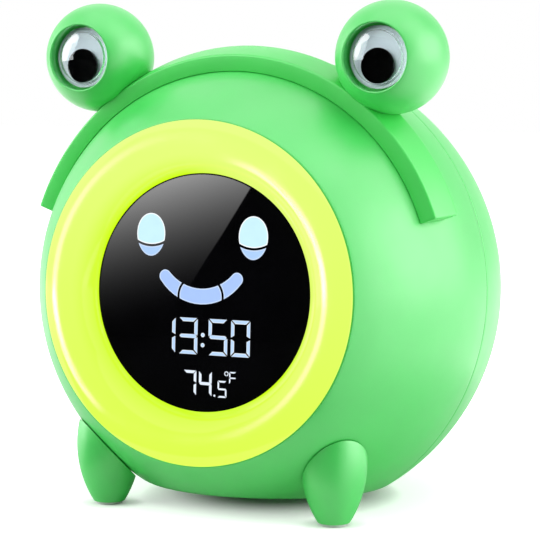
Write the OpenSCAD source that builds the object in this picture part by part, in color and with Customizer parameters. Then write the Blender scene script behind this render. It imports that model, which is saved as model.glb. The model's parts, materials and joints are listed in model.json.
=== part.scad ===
// Bedside alarm clock for children: a leaning ball on two front legs, with a
// night-light ring round a lit display, and two wiggle eyes on a headband.
// +Z is up, the face looks along -Y, and the origin is on the table, at the
// middle of the clock's box. "Ahead" means along the face's own axis.

/* [Body] */
// Radius of the ball-shaped housing
body_r = 60; // [58:0.5:63]
// Wall of the housing
wall = 2.2; // [1.8:0.1:2.6]
// How far the housing leans back, in degrees
lean = 2.8; // [0:0.1:5]
// Outer radius of the light ring, where it meets the ball
ring_r = 42.75; // [41.5:0.05:43.5]
// Radius of the flat rear panel
panel_r = 29.9; // [29:0.1:31]
// Radius of the flat base
base_r = 31; // [28:0.5:33]
// Height of the base's middle above the table
base_gap = 3.4; // [3:0.1:5]
// Distance of the parting plane behind the centre
split_back = 0.6; // [0:0.1:3]
// Width of the parting line between the two shells
seam_gap = 0.2; // [0.1:0.05:0.4]

/* [Light ring] */
// Radius of the display as seen inside the ring
display_r = 29.4; // [28.8:0.1:30]
// Distance of the display behind the front opening's plane
display_recess = 4.1; // [3.6:0.1:4.4]
// Height of the ring's bulge over its two edges
ring_bulge = 3.5; // [3:0.1:4]
// Wall of the ring's dome
ring_wall = 2; // [1.6:0.1:2.3]
// Wall of the ring's two skirts
skirt_t = 1.4; // [1.2:0.1:1.6]
// Distance of the ring's board behind the front opening's plane
ring_depth = 7.1; // [6.8:0.1:7.6]
// Number of lamps under the ring
ring_lamps = 16; // [8:1:24]

/* [Display] */
// Thickness of the black face plate
face_t = 1.2; // [1:0.1:1.6]
// Thickness of the milky plate behind it
diffuser_t = 0.8; // [0.6:0.1:1.2]
// Depth of the light box behind the icons
reflector_t = 3.4; // [3:0.1:4]
// Thickness of every circuit board
board_t = 1.6; // [1:0.1:2]
// Sideways shift of the two eye icons and the mouth
icon_shift = -0.45; // [-1:0.05:1]
// Distance of each eye icon from the middle
icon_eye_x = 14.2; // [13.6:0.1:14.6]
// Height of the eye icons over the display's centre
icon_eye_y = 13.9; // [13.6:0.1:14.2]
// Half width of an eye icon
icon_eye_w = 4.1; // [3.5:0.1:4.5]
// Half height of an eye icon
icon_eye_h = 5.45; // [5:0.05:5.6]
// Width of the dark lines that split the icons
icon_line = 0.36; // [0.25:0.01:0.5]
// Mean radius of the mouth's curve at its middle
mouth_r = 15.25; // [14.8:0.05:15.6]
// Thickness of the mouth at its middle
mouth_t = 4.1; // [3.6:0.1:4.4]
// Width of a clock digit
digit_w = 5.3; // [4.8:0.1:5.6]
// Height of a clock digit
digit_h = 9; // [8:0.1:9.6]
// Stroke of a clock digit
digit_t = 1; // [0.8:0.05:1.2]
// Gap between the strokes of a digit
digit_gap = 0.16; // [0.1:0.01:0.25]

/* [Headband] */
// Thickness of the headband
band_t = 3.9; // [3.4:0.1:4.5]
// Distance of the headband's front ahead of the centre
band_front = 24.5; // [24:0.1:26]
// Distance of the headband's rear edge ahead of the centre
band_rear = 15.8; // [15:0.1:16.4]
// Height of the headband's ends, in degrees over the horizontal
band_end = 19.5; // [15:0.5:22]
// Rounding of the headband's outer edges
band_round = 0.7; // [0.3:0.1:1.2]

/* [Eyes] */
// Radius of an eyeball
eye_r = 14; // [13.6:0.1:14.6]
// Wall of an eyeball
eye_wall = 2; // [1.6:0.1:2.4]
// Angle of an eye from the top of the head, in degrees
eye_angle = 35.1; // [33:0.1:38]
// Distance of an eyeball's centre ahead of the body's centre
eye_f = 19.3; // [18.5:0.1:20]
// Radius of the socket's mouth
socket_r = 8.3; // [8.1:0.1:8.6]
// Rounding of the socket's rim
socket_round = 0.7; // [0.4:0.1:1]
// Distance of the wiggle eye's flange ahead of the eyeball's centre
flange_f = 8.7; // [8.4:0.1:9]
// Radius of the wiggle eye
wiggle_r = 7.65; // [7.5:0.05:7.8]
// Radius of the space that the pupil rolls in
cup_r = 6.45; // [6.3:0.05:6.5]
// Radius of a pupil
pupil_r = 4.3; // [4:0.05:4.6]
// Thickness of a pupil
pupil_t = 0.8; // [0.6:0.1:1]
// Height of the clear dome over the flange
dome_h = 2.4; // [2.2:0.1:2.8]
// Wall of the clear dome
dome_t = 0.5; // [0.4:0.05:0.6]

/* [Legs] */
// Distance of a leg's axis from the middle
leg_x = 31.8; // [30.5:0.1:33]
// Distance of a leg's axis ahead of the body's centre
leg_f = 29.4; // [28.5:0.1:30.5]
// Largest radius of a leg
leg_r = 8.2; // [7.8:0.1:8.6]
// Height above the table at which a leg is widest
leg_widest = 15.6; // [14:0.1:17]
// Radius of the curve down a leg's side
leg_curve = 28.5; // [26:0.5:32]
// Rounding at a leg's lower end
leg_round = 0.9; // [0.6:0.1:1.2]
// Radius of the pad under a leg
pad_r = 3.2; // [2.8:0.1:3.3]
// Height of the pad under a leg
pad_t = 0.7; // [0.5:0.1:1]
// Gap between a leg and the housing
leg_gap = 0.3; // [0.2:0.05:0.4]

/* [Rear panel] */
// Radius of the circle that the buttons stand on
button_ring = 22; // [21.5:0.1:22.4]
// Angle from one button to the next, in degrees
button_step = 30; // [28:0.5:31]
// Radius of a button's cap
button_r = 3.7; // [3.4:0.1:3.9]
// Height of a button over the rear panel
button_proud = 1.3; // [1.2:0.1:1.8]
// Travel of a button
button_travel = 1; // [0.6:0.1:1.1]
// Gap round a button in its hole
button_gap = 0.2; // [0.15:0.05:0.3]
// Half of the power knob's travel
knob_travel = 1.2; // [1:0.1:1.4]
// Radius of the speaker
speaker_r = 14; // [13:0.1:14.2]
// Radius of a grille hole
grille_r = 1; // [0.7:0.1:1.2]
// Distance between the rings of grille holes
grille_pitch = 3.8; // [3.4:0.1:4.2]

/* [Inside] */
// Radius of the battery cell
cell_r = 9; // [8:0.1:9.3]
// Length of the battery cell
cell_len = 65; // [60:0.5:66]
// Distance of the cell's axis behind the centre
cell_back = 14; // [13:0.5:15]
// Height of the cell over the base's inner face
cell_lift = 7.2; // [6:0.2:9]
// Width of the main board
main_w = 60; // [56:1:62]
// Height of the main board
main_h = 42; // [40:1:44]
// Distance of the main board behind the inner frame
main_gap = 6; // [5:0.5:8]
// Thickness of the inner frame
frame_t = 2.2; // [1.8:0.1:2.6]
// Radius of the housing's screw bosses
boss_r = 3.5; // [3:0.1:4]
// Radius of every large screw's shank
screw_r = 1.3; // [1.2:0.05:1.4]
// Radius of every small screw's shank
small_screw_r = 1; // [0.8:0.05:1.1]
// Gap that lets one fixed piece slip into another
fit_gap = 0.1; // [0.05:0.01:0.2]

/* [Hidden] */
$fn = 96;

green = [0.36, 0.86, 0.44];
band_green = [0.24, 0.80, 0.34];
glow = [0.88, 1, 0.35];
board_green = [0.05, 0.35, 0.2];
steel = [0.75, 0.76, 0.78];
milky = [0.95, 0.97, 1];
graphite = [0.12, 0.12, 0.13];
far = 200;
eps = 0.01;

// Housing
inner_r = body_r - wall;
face_f = sqrt(pow(body_r, 2) - pow(ring_r, 2));
rear_f = sqrt(pow(body_r, 2) - pow(panel_r, 2));
base_drop = sqrt(pow(body_r, 2) - pow(base_r, 2));
centre_h = base_drop + base_gap;
opening_r = sqrt(pow(inner_r, 2) - pow(face_f, 2));
rear_in = rear_f - wall;
base_in = base_drop - wall;
lip_t = 1.2;
lip_len = 2.4;
lip_root = 3;
tab_angles = [-50 : 40 : 230];
tab_span = 12;

// Light ring: its dome's arc runs from the outer edge to the display's edge
seat_gap = 0.1;
display_f = face_f - display_recess;
ring_edge = [ring_r, face_f + seat_gap];
ring_inner = [display_r, display_f];
chord = ring_edge - ring_inner;
chord_len = norm(chord);
dome_r = (pow(chord_len / 2, 2) + pow(ring_bulge, 2)) / (2 * ring_bulge);
chord_out = [-chord[1], chord[0]] / chord_len;
dome_c = (ring_edge + ring_inner) / 2 - chord_out * (dome_r - ring_bulge);
skirt_r = opening_r - fit_gap - 0.3;
ring_back = face_f - ring_depth;
plate_r = display_r + 0.8;
inner_skirt_r = plate_r + fit_gap;
snap_w = 5;
snap_out = 1.3;
snap_t = 1.2;
snap_behind = 2.8;

// Display stack, from the front: face plate, diffuser, light box, board, frame
diffuser_f = display_f - face_t;
reflector_f = diffuser_f - diffuser_t;
board_f = reflector_f - reflector_t;
frame_f = board_f - board_t;
frame_back = frame_f - frame_t;
frame_r = skirt_r + 1.6;
frame_boss_r = 3;
frame_boss_at = frame_r + frame_boss_r - 0.6;
main_f = frame_back - main_gap;

// Lamps, on the ring's board and the display's
lamp_w = 3.2;
lamp_d = 2.6;
lamp_h = 1.5;

// Icons on the display
eye_cut_r = 8.3;
eye_cut_y = icon_eye_y - 2.7 + eye_cut_r;
mouth_y = 14.3;
mouth_half_angle = 43.2;
mouth_end_r = 1.75;
mouth_end_shift = 0.7;
mouth_split_x = 1.4;
mouth_split_r = 4.75;
time_y = -10.8;
time_left = [-12.55, -6.35, 1.95, 8.15];
time_digits = ["1", "3", "5", "0"];
colon = [[0.4, -10.4], [0.4, -12.9]];
colon_r = 0.6;
temp_y = -22.35;
temp_left = [-4.75, -0.45];
temp_digits = ["7", "4"];
temp_w = 3.6;
temp_h = 6.2;
temp_t = 0.76;
small_gap = 0.08;
point_at = [3.95, -25.15];
point_r = 0.32;
tenth_left = 4.75;
tenth_y = -23.45;
tenth_w = 2.55;
tenth_h = 4.2;
tenth_t = 0.5;
degree_at = [7.15, -19.55];
degree_r = 0.64;
degree_t = 0.32;
letter_left = 7.9;
letter_y = -20.55;
letter_w = 2;
letter_h = 3.1;
letter_t = 0.42;
well_gap = 0.5;

// Headband and eyes
band_gap = 0.1;
band_in = body_r + band_gap;
band_out = band_in + band_t;
band_mid = (band_front + band_rear) / 2;
peg_r = 1.5;
peg_angle = 28;
peg_in = 4;
eye_clear = 0.25;
eye_reach = sqrt(pow(body_r + eye_clear + eye_r, 2) - pow(eye_f, 2));
eye_x = eye_reach * sin(eye_angle);
eye_z = eye_reach * cos(eye_angle);
eye_boss_r = 3.4;
eye_pad_r = 3.6;
eye_pad_t = 2.2;
eye_screw_len = 14;
rim_r = socket_r + socket_round;
rim_f = sqrt(pow(eye_r - socket_round, 2) - pow(rim_r, 2));
white_t = 0.8;
white_f = flange_f - dome_t;
seat_f = white_f - white_t;
seat_t = 1.5;
pupil_lift = 0.15;
pupil_drop = cup_r - pupil_r - 0.1;

// Legs and pads
leg_big_c = [leg_r - leg_curve, leg_widest];
leg_corner_y = pad_t + leg_round;
leg_corner_x = leg_big_c[0]
  + sqrt(pow(leg_curve - leg_round, 2) - pow(leg_widest - leg_corner_y, 2));
leg_tangent_y = leg_widest - (leg_widest - leg_corner_y) * leg_curve / (leg_curve - leg_round);
pad_sunk = 0.8;
rear_pad_r = 4;
rear_pad_x = 14;
rear_pad_back = 21;
rear_pad_sunk = 0.8;
leg_pad_r = 4;
leg_top = centre_h / 2;
leg_ledge = 3.4;
leg_screw_len = 12;

// Rear panel
button_names = ["light_button", "down_button", "mode_button", "up_button", "alarm_button"];
button_flange = 1;
button_flange_t = 0.8;
button_round = 0.6;
stem_r = 1.5;
switch_w = 6;
switch_h = 3;
stop_gap = 0.3;
board_drop = button_flange_t + button_travel + stop_gap + switch_h + board_t;
board_z = rear_in - board_drop;
stem_in = 1.5;
stem_floor_gap = 0.2;
board_in_r = speaker_r + 2.6;
board_out_r = 28.4;
post_r = 2.6;
post_at = 24.4;
post_angles = [0, 180, 248, 292];
knob_at = [-16, -16];
knob_w = 4;
knob_h = 2.8;
knob_proud = 1.1;
knob_plate_t = 0.8;
slide_floor = 1.2;
knob_stem_w = 2;
knob_stem_h = 1.6;
socket_at = [0, -22];
socket_w = 9;
socket_h = 3.3;
socket_t = 0.35;
socket_depth = 6.2;
sensor_at = [16, -16];
sensor_r = 1.3;
vent_r = 0.7;
vent_pitch = 2.4;
collar_t = 1.3;
collar_len = 4;
speaker_lip_w = 1.8;
speaker_lip_t = 1.2;
basket_t = 0.8;
basket_drop = 5;
cone_t = 0.5;
cone_depth = 3;
magnet_r = 9;
magnet_t = 4;

// Battery
cell_drop = base_in - cell_r - cell_lift;
cradle_w = 36;
cradle_d = 15;
cradle_floor_t = 2;
saddle_x = 14;
saddle_t = 5;
saddle_lip = 1.3;

// Screws
boss_inset = 9.4;
case_bosses = [for (a = [38, 142, 211, 329]) (inner_r - boss_inset) * [cos(a), sin(a)]];
case_seat = 8;
case_screw_len = 14;
head_r = 2.6;
head_t = 1.8;
small_head_r = 1.9;
small_head_t = 1.3;
pilot_gap = 0.03;
main_posts = [[26, 16], [-26, 16], [26, -16], [-26, -16]];
main_up = 3;
main_post_r = 2.4;

// Main board's parts
chip_at = [-4, 4];
chip_w = 10;
chip_t = 1.4;
amplifier_at = [12, -6];
capacitor_at = [10, 8];
capacitor_r = 3;
capacitor_h = 7;
crystal_at = [-15, 6];
crystal_w = 4;
plug_x = [-14, -4, 6];
plug_w = 7;
plug_d = 4.5;
plug_h = 5;
plug_drop = 15;

// Wiring: each lead leaves its plug straight, and bows by so much at each end
plug_y = -(main_f - board_t - plug_h);
plug_z = main_up - plug_drop;
wire_r = 0.7;
wire_bow = 12;
ribbon_bow = 20;
ribbon_end = [20, 10];

// The clock's own box is centred on the origin
front_reach = dome_c[1] * cos(lean) + dome_c[0] * sin(lean) + dome_r;
rear_reach = (rear_f + button_proud) * cos(lean) + (button_ring + button_r - button_round) * sin(lean);
centre_y = (front_reach - rear_reach) / 2;

// ---------------------------------------------------------------- frames

// The body's own frame: its centre is the ball's centre, and it leans back
module leaned() {
  translate([0, centre_y, centre_h]) rotate([-lean, 0, 0]) children();
}

// Local x right, y up, z out of the face
module facing() {
  rotate([90, 0, 0]) children();
}

// Local x right, y up, z out of the back, as seen from behind
module backward() {
  rotate([90, 0, 180]) children();
}

// Local z runs out from the ball's centre through the eye on one side
module towards_eye(side) {
  translate([0, -band_mid, 0]) rotate([0, side * eye_angle, 0]) children();
}

// An eye's own frame: z looks level, straight ahead
module eye_frame(side) {
  leaned() translate([side * eye_x, -eye_f, eye_z]) rotate([lean, 0, 0]) facing() children();
}

// A leg's own frame: upright on the table
module leg_frame(side) {
  translate([side * leg_x, centre_y - leg_f, 0]) children();
}

// ---------------------------------------------------------------- helpers

// The ball between a front plane, a rear plane and a base plane
module cut_ball(r, front, back, base) {
  intersection() {
    sphere(r);
    translate([-far / 2, -front, -base]) cube([far, front + back, far]);
  }
}

// A flat ring, standing on z = 0
module washer(outer, inner, h) {
  difference() {
    cylinder(r = outer, h = h);
    translate([0, 0, -eps]) cylinder(r = inner, h = h + 2 * eps);
  }
}

// A block centred in x and y, standing on z = 0
module block(w, d, h) {
  translate([-w / 2, -d / 2, 0]) cube([w, d, h]);
}

// A slot's outline with round ends, standing on z = 0
module slot(w, h, depth) {
  block(w - h, h, depth);
  for (s = [-1, 1]) translate([s * (w - h) / 2, 0, 0]) cylinder(d = h, h = depth);
}

// A screw with its head's underside on z = 0 and its shank below
module screw(shank, len, head, head_h) {
  translate([0, 0, -len]) cylinder(r = shank, h = len);
  difference() {
    cylinder(r = head, h = head_h);
    translate([0, 0, head_h * 0.4]) cylinder(r = head * 0.45, h = head_h);
  }
}

// What a fillet of radius r takes off the corner between p and q
module fillet_cut(c, r, p, corner, q) {
  difference() {
    polygon([c, p, c + 4 * (corner - c), q]);
    translate(c) circle(r);
  }
}

// ---------------------------------------------------------------- icons

// One stroke of a seven-stroke digit, pointed at the ends it shares
module stroke(name, w, h, t, gap) {
  half = h / 2;
  top = [[gap, 0], [w - gap, 0], [w - t - gap, -t], [t + gap, -t]];
  side = [[0, -gap], [t, -t - gap], [t, -half + t / 2 + gap], [0, -half + gap]];
  bar = [[gap, 0], [t / 2 + gap, t / 2], [w - t / 2 - gap, t / 2],
    [w - gap, 0], [w - t / 2 - gap, -t / 2], [t / 2 + gap, -t / 2]];
  if (name == "a") translate([0, half]) polygon(top);
  if (name == "d") translate([0, -half]) mirror([0, 1]) polygon(top);
  if (name == "g") polygon(bar);
  if (name == "f") translate([0, half]) polygon(side);
  if (name == "e") mirror([0, 1]) translate([0, half]) polygon(side);
  if (name == "b") translate([w, half]) mirror([1, 0]) polygon(side);
  if (name == "c") translate([w, 0]) mirror([1, 0]) mirror([0, 1]) translate([0, half]) polygon(side);
}

// The strokes that are lit for a character
function lit(c) =
  c == "1" ? "bc" :
  c == "3" ? "abcdg" :
  c == "4" ? "bcfg" :
  c == "5" ? "acdfg" :
  c == "7" ? "abc" :
  c == "0" ? "abcdef" : "aefg";

module digit(c, w, h, t, gap) {
  for (s = lit(c)) stroke(s, w, h, t, gap);
}

// An egg, slightly wider above its middle
module egg(w, h) {
  polygon([for (a = [0 : 10 : 350]) [w * cos(a) * (1 + 0.05 * sin(a)), h * sin(a)]]);
}

// A sleepy eye: an egg with a curved dark line across it
module icon_eye() {
  difference() {
    translate([0, icon_eye_y]) egg(icon_eye_w, icon_eye_h);
    translate([0, eye_cut_y]) difference() {
      circle(eye_cut_r + icon_line / 2);
      circle(eye_cut_r - icon_line / 2);
    }
  }
}

// Points along one edge of the mouth; side is 1 for the outer edge
function mouth_point(a, side) =
  let (k = pow(a / mouth_half_angle, 2),
    r = mouth_r - mouth_end_shift * k + side * (mouth_t / 2 * (1 - k) + mouth_end_r * k))
  [r * sin(a), mouth_y - r * cos(a)];

// A smile of one curved bar in three lengths
module icon_mouth() {
  steps = [-1 : 0.125 : 1];
  outer = [for (k = steps) mouth_point(k * mouth_half_angle, 1)];
  inner = [for (k = steps) mouth_point(-k * mouth_half_angle, -1)];
  end_r = mouth_r - mouth_end_shift;
  difference() {
    union() {
      polygon(concat(outer, inner));
      for (s = [-1, 1])
        translate([s * end_r * sin(mouth_half_angle), mouth_y - end_r * cos(mouth_half_angle)])
          circle(mouth_end_r);
    }
    for (s = [-1, 1]) intersection() {
      translate([s * mouth_split_x, mouth_y - mouth_r]) difference() {
        circle(mouth_split_r + icon_line / 2);
        circle(mouth_split_r - icon_line / 2);
      }
      translate([s * 2 * mouth_t, 0]) square([3 * mouth_t, far], center = true);
    }
  }
}

module face_icons() {
  translate([icon_shift, 0]) {
    for (s = [-1, 1]) translate([s * icon_eye_x, 0]) icon_eye();
    icon_mouth();
  }
}

module time_icons() {
  for (i = [0 : 3])
    translate([time_left[i], time_y]) digit(time_digits[i], digit_w, digit_h, digit_t, digit_gap);
  for (p = colon) translate(p) circle(colon_r);
}

module temperature_icons() {
  for (i = [0 : 1])
    translate([temp_left[i], temp_y]) digit(temp_digits[i], temp_w, temp_h, temp_t, small_gap);
  translate(point_at) circle(point_r);
  translate([tenth_left, tenth_y]) digit("5", tenth_w, tenth_h, tenth_t, small_gap);
  translate(degree_at) difference() {
    circle(degree_r);
    circle(degree_r - degree_t);
    translate([-small_gap / 2, -far]) square([small_gap, far]);
  }
  translate([letter_left, letter_y]) digit("F", letter_w, letter_h, letter_t, small_gap);
}

module all_icons() {
  face_icons();
  time_icons();
  temperature_icons();
}

// ---------------------------------------------------------------- housing

// The tabs that line up the two shells, rooted in the front one
module shell_tabs() {
  inside = inner_r - lip_t;
  tip = inner_r - 2 * fit_gap;
  root = inner_r + wall / 3;
  start = seam_gap - split_back;
  for (a = tab_angles) facing() rotate(a - tab_span / 2) rotate_extrude(angle = tab_span)
    polygon([[inside, -split_back - lip_len], [tip, -split_back - lip_len],
      [tip, start], [root, start], [root, start + lip_root], [inside, start + lip_root]]);
}

module front_shell() {
  color(green) difference() {
    union() {
      leaned() {
        difference() {
          cut_ball(body_r, face_f, split_back - seam_gap / 2, base_drop);
          cut_ball(inner_r, far / 2, far / 2, base_in);
        }
        shell_tabs();
        intersection() {
          cut_ball(body_r - wall / 2, face_f - wall / 4, split_back - seam_gap / 2, base_drop - wall / 2);
          union() {
            facing() {
              for (p = case_bosses) translate([p[0], p[1], -split_back]) cylinder(r = boss_r, h = far);
              for (a = [0 : 90 : 270])
                rotate(a) translate([frame_boss_at, 0, frame_f]) cylinder(r = frame_boss_r, h = far);
            }
            for (s = [-1, 1])
              towards_eye(s) translate([0, 0, eye_head_z()]) cylinder(r = eye_pad_r, h = far);
          }
        }
      }
      intersection() {
        leaned() cut_ball(body_r - wall / 2, far / 2, 0, base_drop - wall / 2);
        for (s = [-1, 1]) leg_frame(s) cylinder(r = leg_pad_r, h = leg_head_z());
      }
    }
    leaned() {
      facing() {
        for (p = case_bosses)
          translate([p[0], p[1], -split_back - 1])
            cylinder(r = screw_r + pilot_gap, h = case_screw_len - case_seat + 3);
        for (a = [0 : 90 : 270])
          rotate(a) translate([frame_boss_at, 0, frame_f - 1])
            cylinder(r = small_screw_r + pilot_gap, h = 6.5);
      }
      for (s = [-1, 1]) {
        towards_eye(s) cylinder(r = screw_r + fit_gap, h = far);
        band_peg(s, peg_r + fit_gap);
      }
    }
    for (s = [-1, 1]) leg_frame(s) cylinder(r = screw_r + fit_gap, h = far / 4);
  }
}

module rear_shell() {
  color(green) leaned() difference() {
    union() {
      difference() {
        cut_ball(body_r, -split_back - seam_gap / 2, rear_f, base_drop);
        cut_ball(inner_r, far / 2, rear_in, base_in);
      }
      intersection() {
        cut_ball(body_r - wall / 2, -split_back - seam_gap / 2, rear_f - wall / 2, base_drop - wall / 2);
        backward() {
          for (p = case_bosses) translate([p[0], p[1], split_back]) cylinder(r = boss_r + 0.8, h = far);
          for (a = post_angles)
            rotate(a) translate([post_at, 0, board_z + board_t]) cylinder(r = post_r, h = far);
          translate([0, 0, rear_in - collar_len])
            washer(speaker_r + fit_gap * 2 + collar_t, speaker_r + fit_gap * 2, far);
        }
      }
    }
    backward() {
      for (p = case_bosses) translate([p[0], p[1], 0]) {
        cylinder(r = screw_r + fit_gap, h = far);
        translate([0, 0, case_seat]) cylinder(r = head_r + 0.3, h = far);
      }
      for (a = post_angles)
        rotate(a) translate([post_at, 0, board_z]) cylinder(r = small_screw_r + pilot_gap, h = 6);
      for (i = [0 : 4]) button_place(i) cylinder(r = button_r + button_gap, h = far);
      translate([knob_at[0], knob_at[1], rear_in - 1])
        block(knob_w + 2 * (knob_travel + button_gap), knob_h + 2 * button_gap, far);
      translate([socket_at[0], socket_at[1], rear_in - 1])
        slot(socket_w + 2 * fit_gap, socket_h + 2 * fit_gap, far);
      for (s = [-1 : 1])
        translate([sensor_at[0] + s * vent_pitch, sensor_at[1], rear_in - 1]) cylinder(r = vent_r, h = far);
      grille_holes();
    }
    for (s = [-1, 1])
      translate([s * rear_pad_x, rear_pad_back, -base_drop - 1])
        cylinder(r = rear_pad_r + fit_gap, h = 1 + rear_pad_sunk);
  }
}

module case_screws() {
  color(steel) leaned() backward() for (p = case_bosses)
    translate([p[0], p[1], case_seat]) screw(screw_r, case_screw_len, head_r, head_t);
}

// One hole in the middle, six round it and twelve round those
module grille_holes() {
  for (ring = [0 : 2])
    for (i = [0 : max(6 * ring - 1, 0)])
      rotate(i * 360 / max(6 * ring, 1)) translate([ring * grille_pitch, 0, rear_in - 1])
        cylinder(r = grille_r, h = far);
}

module rear_foot_pads() {
  color(graphite) difference() {
    leaned() for (s = [-1, 1])
      translate([s * rear_pad_x, rear_pad_back, -base_drop - 10])
        cylinder(r = rear_pad_r, h = 10 + rear_pad_sunk);
    translate([-far / 2, -far / 2, -far]) cube(far);
  }
}

// ---------------------------------------------------------------- light ring

module ring_profile() {
  intersection() {
    difference() {
      translate(dome_c) circle(dome_r);
      translate(dome_c) circle(dome_r - ring_wall);
    }
    union() {
      translate([display_r, ring_edge[1]]) square([ring_edge[0] - display_r, far]);
      translate([display_r, display_f]) square([skirt_r - display_r, far]);
    }
  }
  translate([skirt_r - skirt_t, ring_back]) square([skirt_t, ring_edge[1] - ring_back]);
  translate([inner_skirt_r, ring_back]) square([skirt_t, display_f + 0.5 - ring_back]);
}

module light_ring() {
  color(glow) leaned() facing() {
    rotate_extrude() ring_profile();
    for (a = [15 : 60 : 315])
      rotate(a) translate([skirt_r - 0.2, -snap_w / 2, face_f - snap_behind])
        cube([snap_out + 0.2, snap_w, snap_t]);
  }
}

module ring_board() {
  color(board_green) leaned() facing() translate([0, 0, ring_back - board_t])
    washer(skirt_r, inner_skirt_r, board_t);
}

module ring_leds() {
  mid = (skirt_r - skirt_t + inner_skirt_r + skirt_t) / 2;
  color(milky) leaned() facing() for (i = [0 : ring_lamps - 1])
    rotate(i * 360 / ring_lamps) translate([mid, 0, ring_back]) block(lamp_w, lamp_d, lamp_h);
}

// ---------------------------------------------------------------- display

module display_face() {
  color("black") leaned() facing() difference() {
    translate([0, 0, diffuser_f]) cylinder(r = plate_r, h = face_t);
    translate([0, 0, diffuser_f - 1]) linear_extrude(face_t + 2) all_icons();
  }
}

module icon_diffuser() {
  color(milky) leaned() facing() {
    translate([0, 0, reflector_f]) cylinder(r = plate_r, h = diffuser_t);
    translate([0, 0, reflector_f + diffuser_t / 2])
      linear_extrude(diffuser_t / 2 + face_t) all_icons();
  }
}

// The light box's chambers: one behind each eye, the mouth, the time and the rest
module light_wells(h) {
  mouth_w = 2 * mouth_r * sin(mouth_half_angle) + 2 * mouth_end_r;
  mouth_top = mouth_y - mouth_r * cos(mouth_half_angle) + mouth_end_r;
  mouth_low = mouth_y - mouth_r - mouth_t / 2;
  time_w = time_left[3] + digit_w - time_left[0];
  temp_w_all = letter_left + letter_w - temp_left[0];
  for (s = [-1, 1])
    translate([icon_shift + s * icon_eye_x, icon_eye_y, 0]) cylinder(r = icon_eye_h + well_gap, h = h);
  translate([icon_shift, (mouth_top + mouth_low) / 2, 0]) block(mouth_w, mouth_top - mouth_low, h);
  translate([time_left[0] + time_w / 2, time_y, 0])
    block(time_w + 2 * well_gap, digit_h + 2 * well_gap, h);
  translate([temp_left[0] + temp_w_all / 2, temp_y, 0])
    block(temp_w_all + 2 * well_gap, temp_h + 2 * well_gap, h);
}

module display_reflector() {
  color(milky) leaned() facing() difference() {
    translate([0, 0, board_f]) cylinder(r = plate_r, h = reflector_t);
    translate([0, 0, board_f - 1]) light_wells(reflector_t + 2);
  }
}

module display_board() {
  color(board_green) leaned() facing() translate([0, 0, frame_f]) cylinder(r = plate_r, h = board_t);
}

module display_leds() {
  spots = concat(
    [for (s = [-1, 1]) [s * icon_eye_x, icon_eye_y]],
    [for (a = [-0.7, 0, 0.7]) mouth_point(a * mouth_half_angle, 0)],
    [for (x = time_left) [x + digit_w / 2, time_y]],
    [for (x = [temp_left[0] + temp_w, tenth_left + tenth_w / 2]) [x, temp_y]]
  );
  color(milky) leaned() facing() for (p = spots)
    translate([p[0], p[1], board_f]) block(lamp_w, lamp_d, lamp_h);
}

// The frame that clamps the display stack and the ring's board to the front shell
module inner_frame() {
  color("white") leaned() facing() difference() {
    union() {
      translate([0, 0, frame_back]) cylinder(r = frame_r, h = frame_t);
      for (a = [0 : 90 : 270]) rotate(a) {
        translate([frame_boss_at, 0, frame_back]) cylinder(r = frame_boss_r, h = frame_t);
        translate([frame_boss_at - frame_boss_r, -frame_boss_r, frame_back])
          cube([frame_boss_r, 2 * frame_boss_r, frame_t]);
      }
      translate([0, 0, frame_f - eps]) washer(skirt_r, skirt_r - 4, ring_back - board_t - frame_f + eps);
      for (p = main_posts) translate([p[0], p[1] + main_up, main_f])
        cylinder(r = main_post_r, h = frame_back - main_f + eps);
    }
    for (a = [0 : 90 : 270])
      rotate(a) translate([frame_boss_at, 0, frame_back - 1])
        cylinder(r = small_screw_r + fit_gap, h = frame_t + 2);
    for (p = main_posts)
      translate([p[0], p[1] + main_up, main_f - 1]) cylinder(r = small_screw_r + pilot_gap, h = 6);
  }
}

module frame_screws() {
  color(steel) leaned() facing() for (a = [0 : 90 : 270])
    rotate(a) translate([frame_boss_at, 0, frame_back]) mirror([0, 0, 1])
      screw(small_screw_r, frame_t + 4.5, small_head_r, small_head_t);
}

module main_board() {
  color(board_green) leaned() facing() difference() {
    translate([0, main_up, main_f - board_t]) block(main_w, main_h, board_t);
    for (p = main_posts) translate([p[0], p[1] + main_up, main_f - board_t - 1])
      cylinder(r = small_screw_r + fit_gap, h = board_t + 2);
  }
}

module main_board_screws() {
  color(steel) leaned() facing() for (p = main_posts)
    translate([p[0], p[1] + main_up, main_f - board_t]) mirror([0, 0, 1])
      screw(small_screw_r, board_t + 4, small_head_r, small_head_t);
}

// Controller, amplifier, two capacitors, three connectors and a crystal
module board_components() {
  color(graphite) leaned() facing() translate([0, main_up, main_f - board_t]) mirror([0, 0, 1]) {
    translate(chip_at) block(chip_w, chip_w, chip_t);
    translate(amplifier_at) block(chip_w / 2, chip_w / 2, chip_t);
    for (s = [0, 1]) translate([capacitor_at[0] + s * (2 * capacitor_r + 1), capacitor_at[1], 0])
      cylinder(r = capacitor_r, h = capacitor_h);
    for (x = plug_x) translate([x, -plug_drop, 0]) block(plug_w, plug_d, plug_h);
    translate(crystal_at) block(crystal_w, crystal_w / 2, chip_t);
  }
}

// ---------------------------------------------------------------- headband

// Where the eye screws' heads seat, from the middle of the ball
function eye_head_z() = sqrt(pow(inner_r, 2) - pow(band_mid, 2)) - eye_pad_t;

// The peg near the headband's end on one side, pointing at the ball's axis
module band_peg(side, r) {
  start = sqrt(pow(inner_r, 2) - pow(band_mid, 2)) - peg_in;
  end = sqrt(pow(band_in, 2) - pow(band_mid, 2)) + band_t / 2;
  translate([0, -band_mid, 0]) rotate([0, side * (90 - peg_angle), 0])
    translate([0, 0, start]) cylinder(r = r, h = end - start);
}

// Points along an arc about c
function arc_points(c, r, from, to, steps) =
  [for (i = [0 : steps]) let (a = from + (to - from) * i / steps) c + r * [cos(a), sin(a)]];

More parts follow.
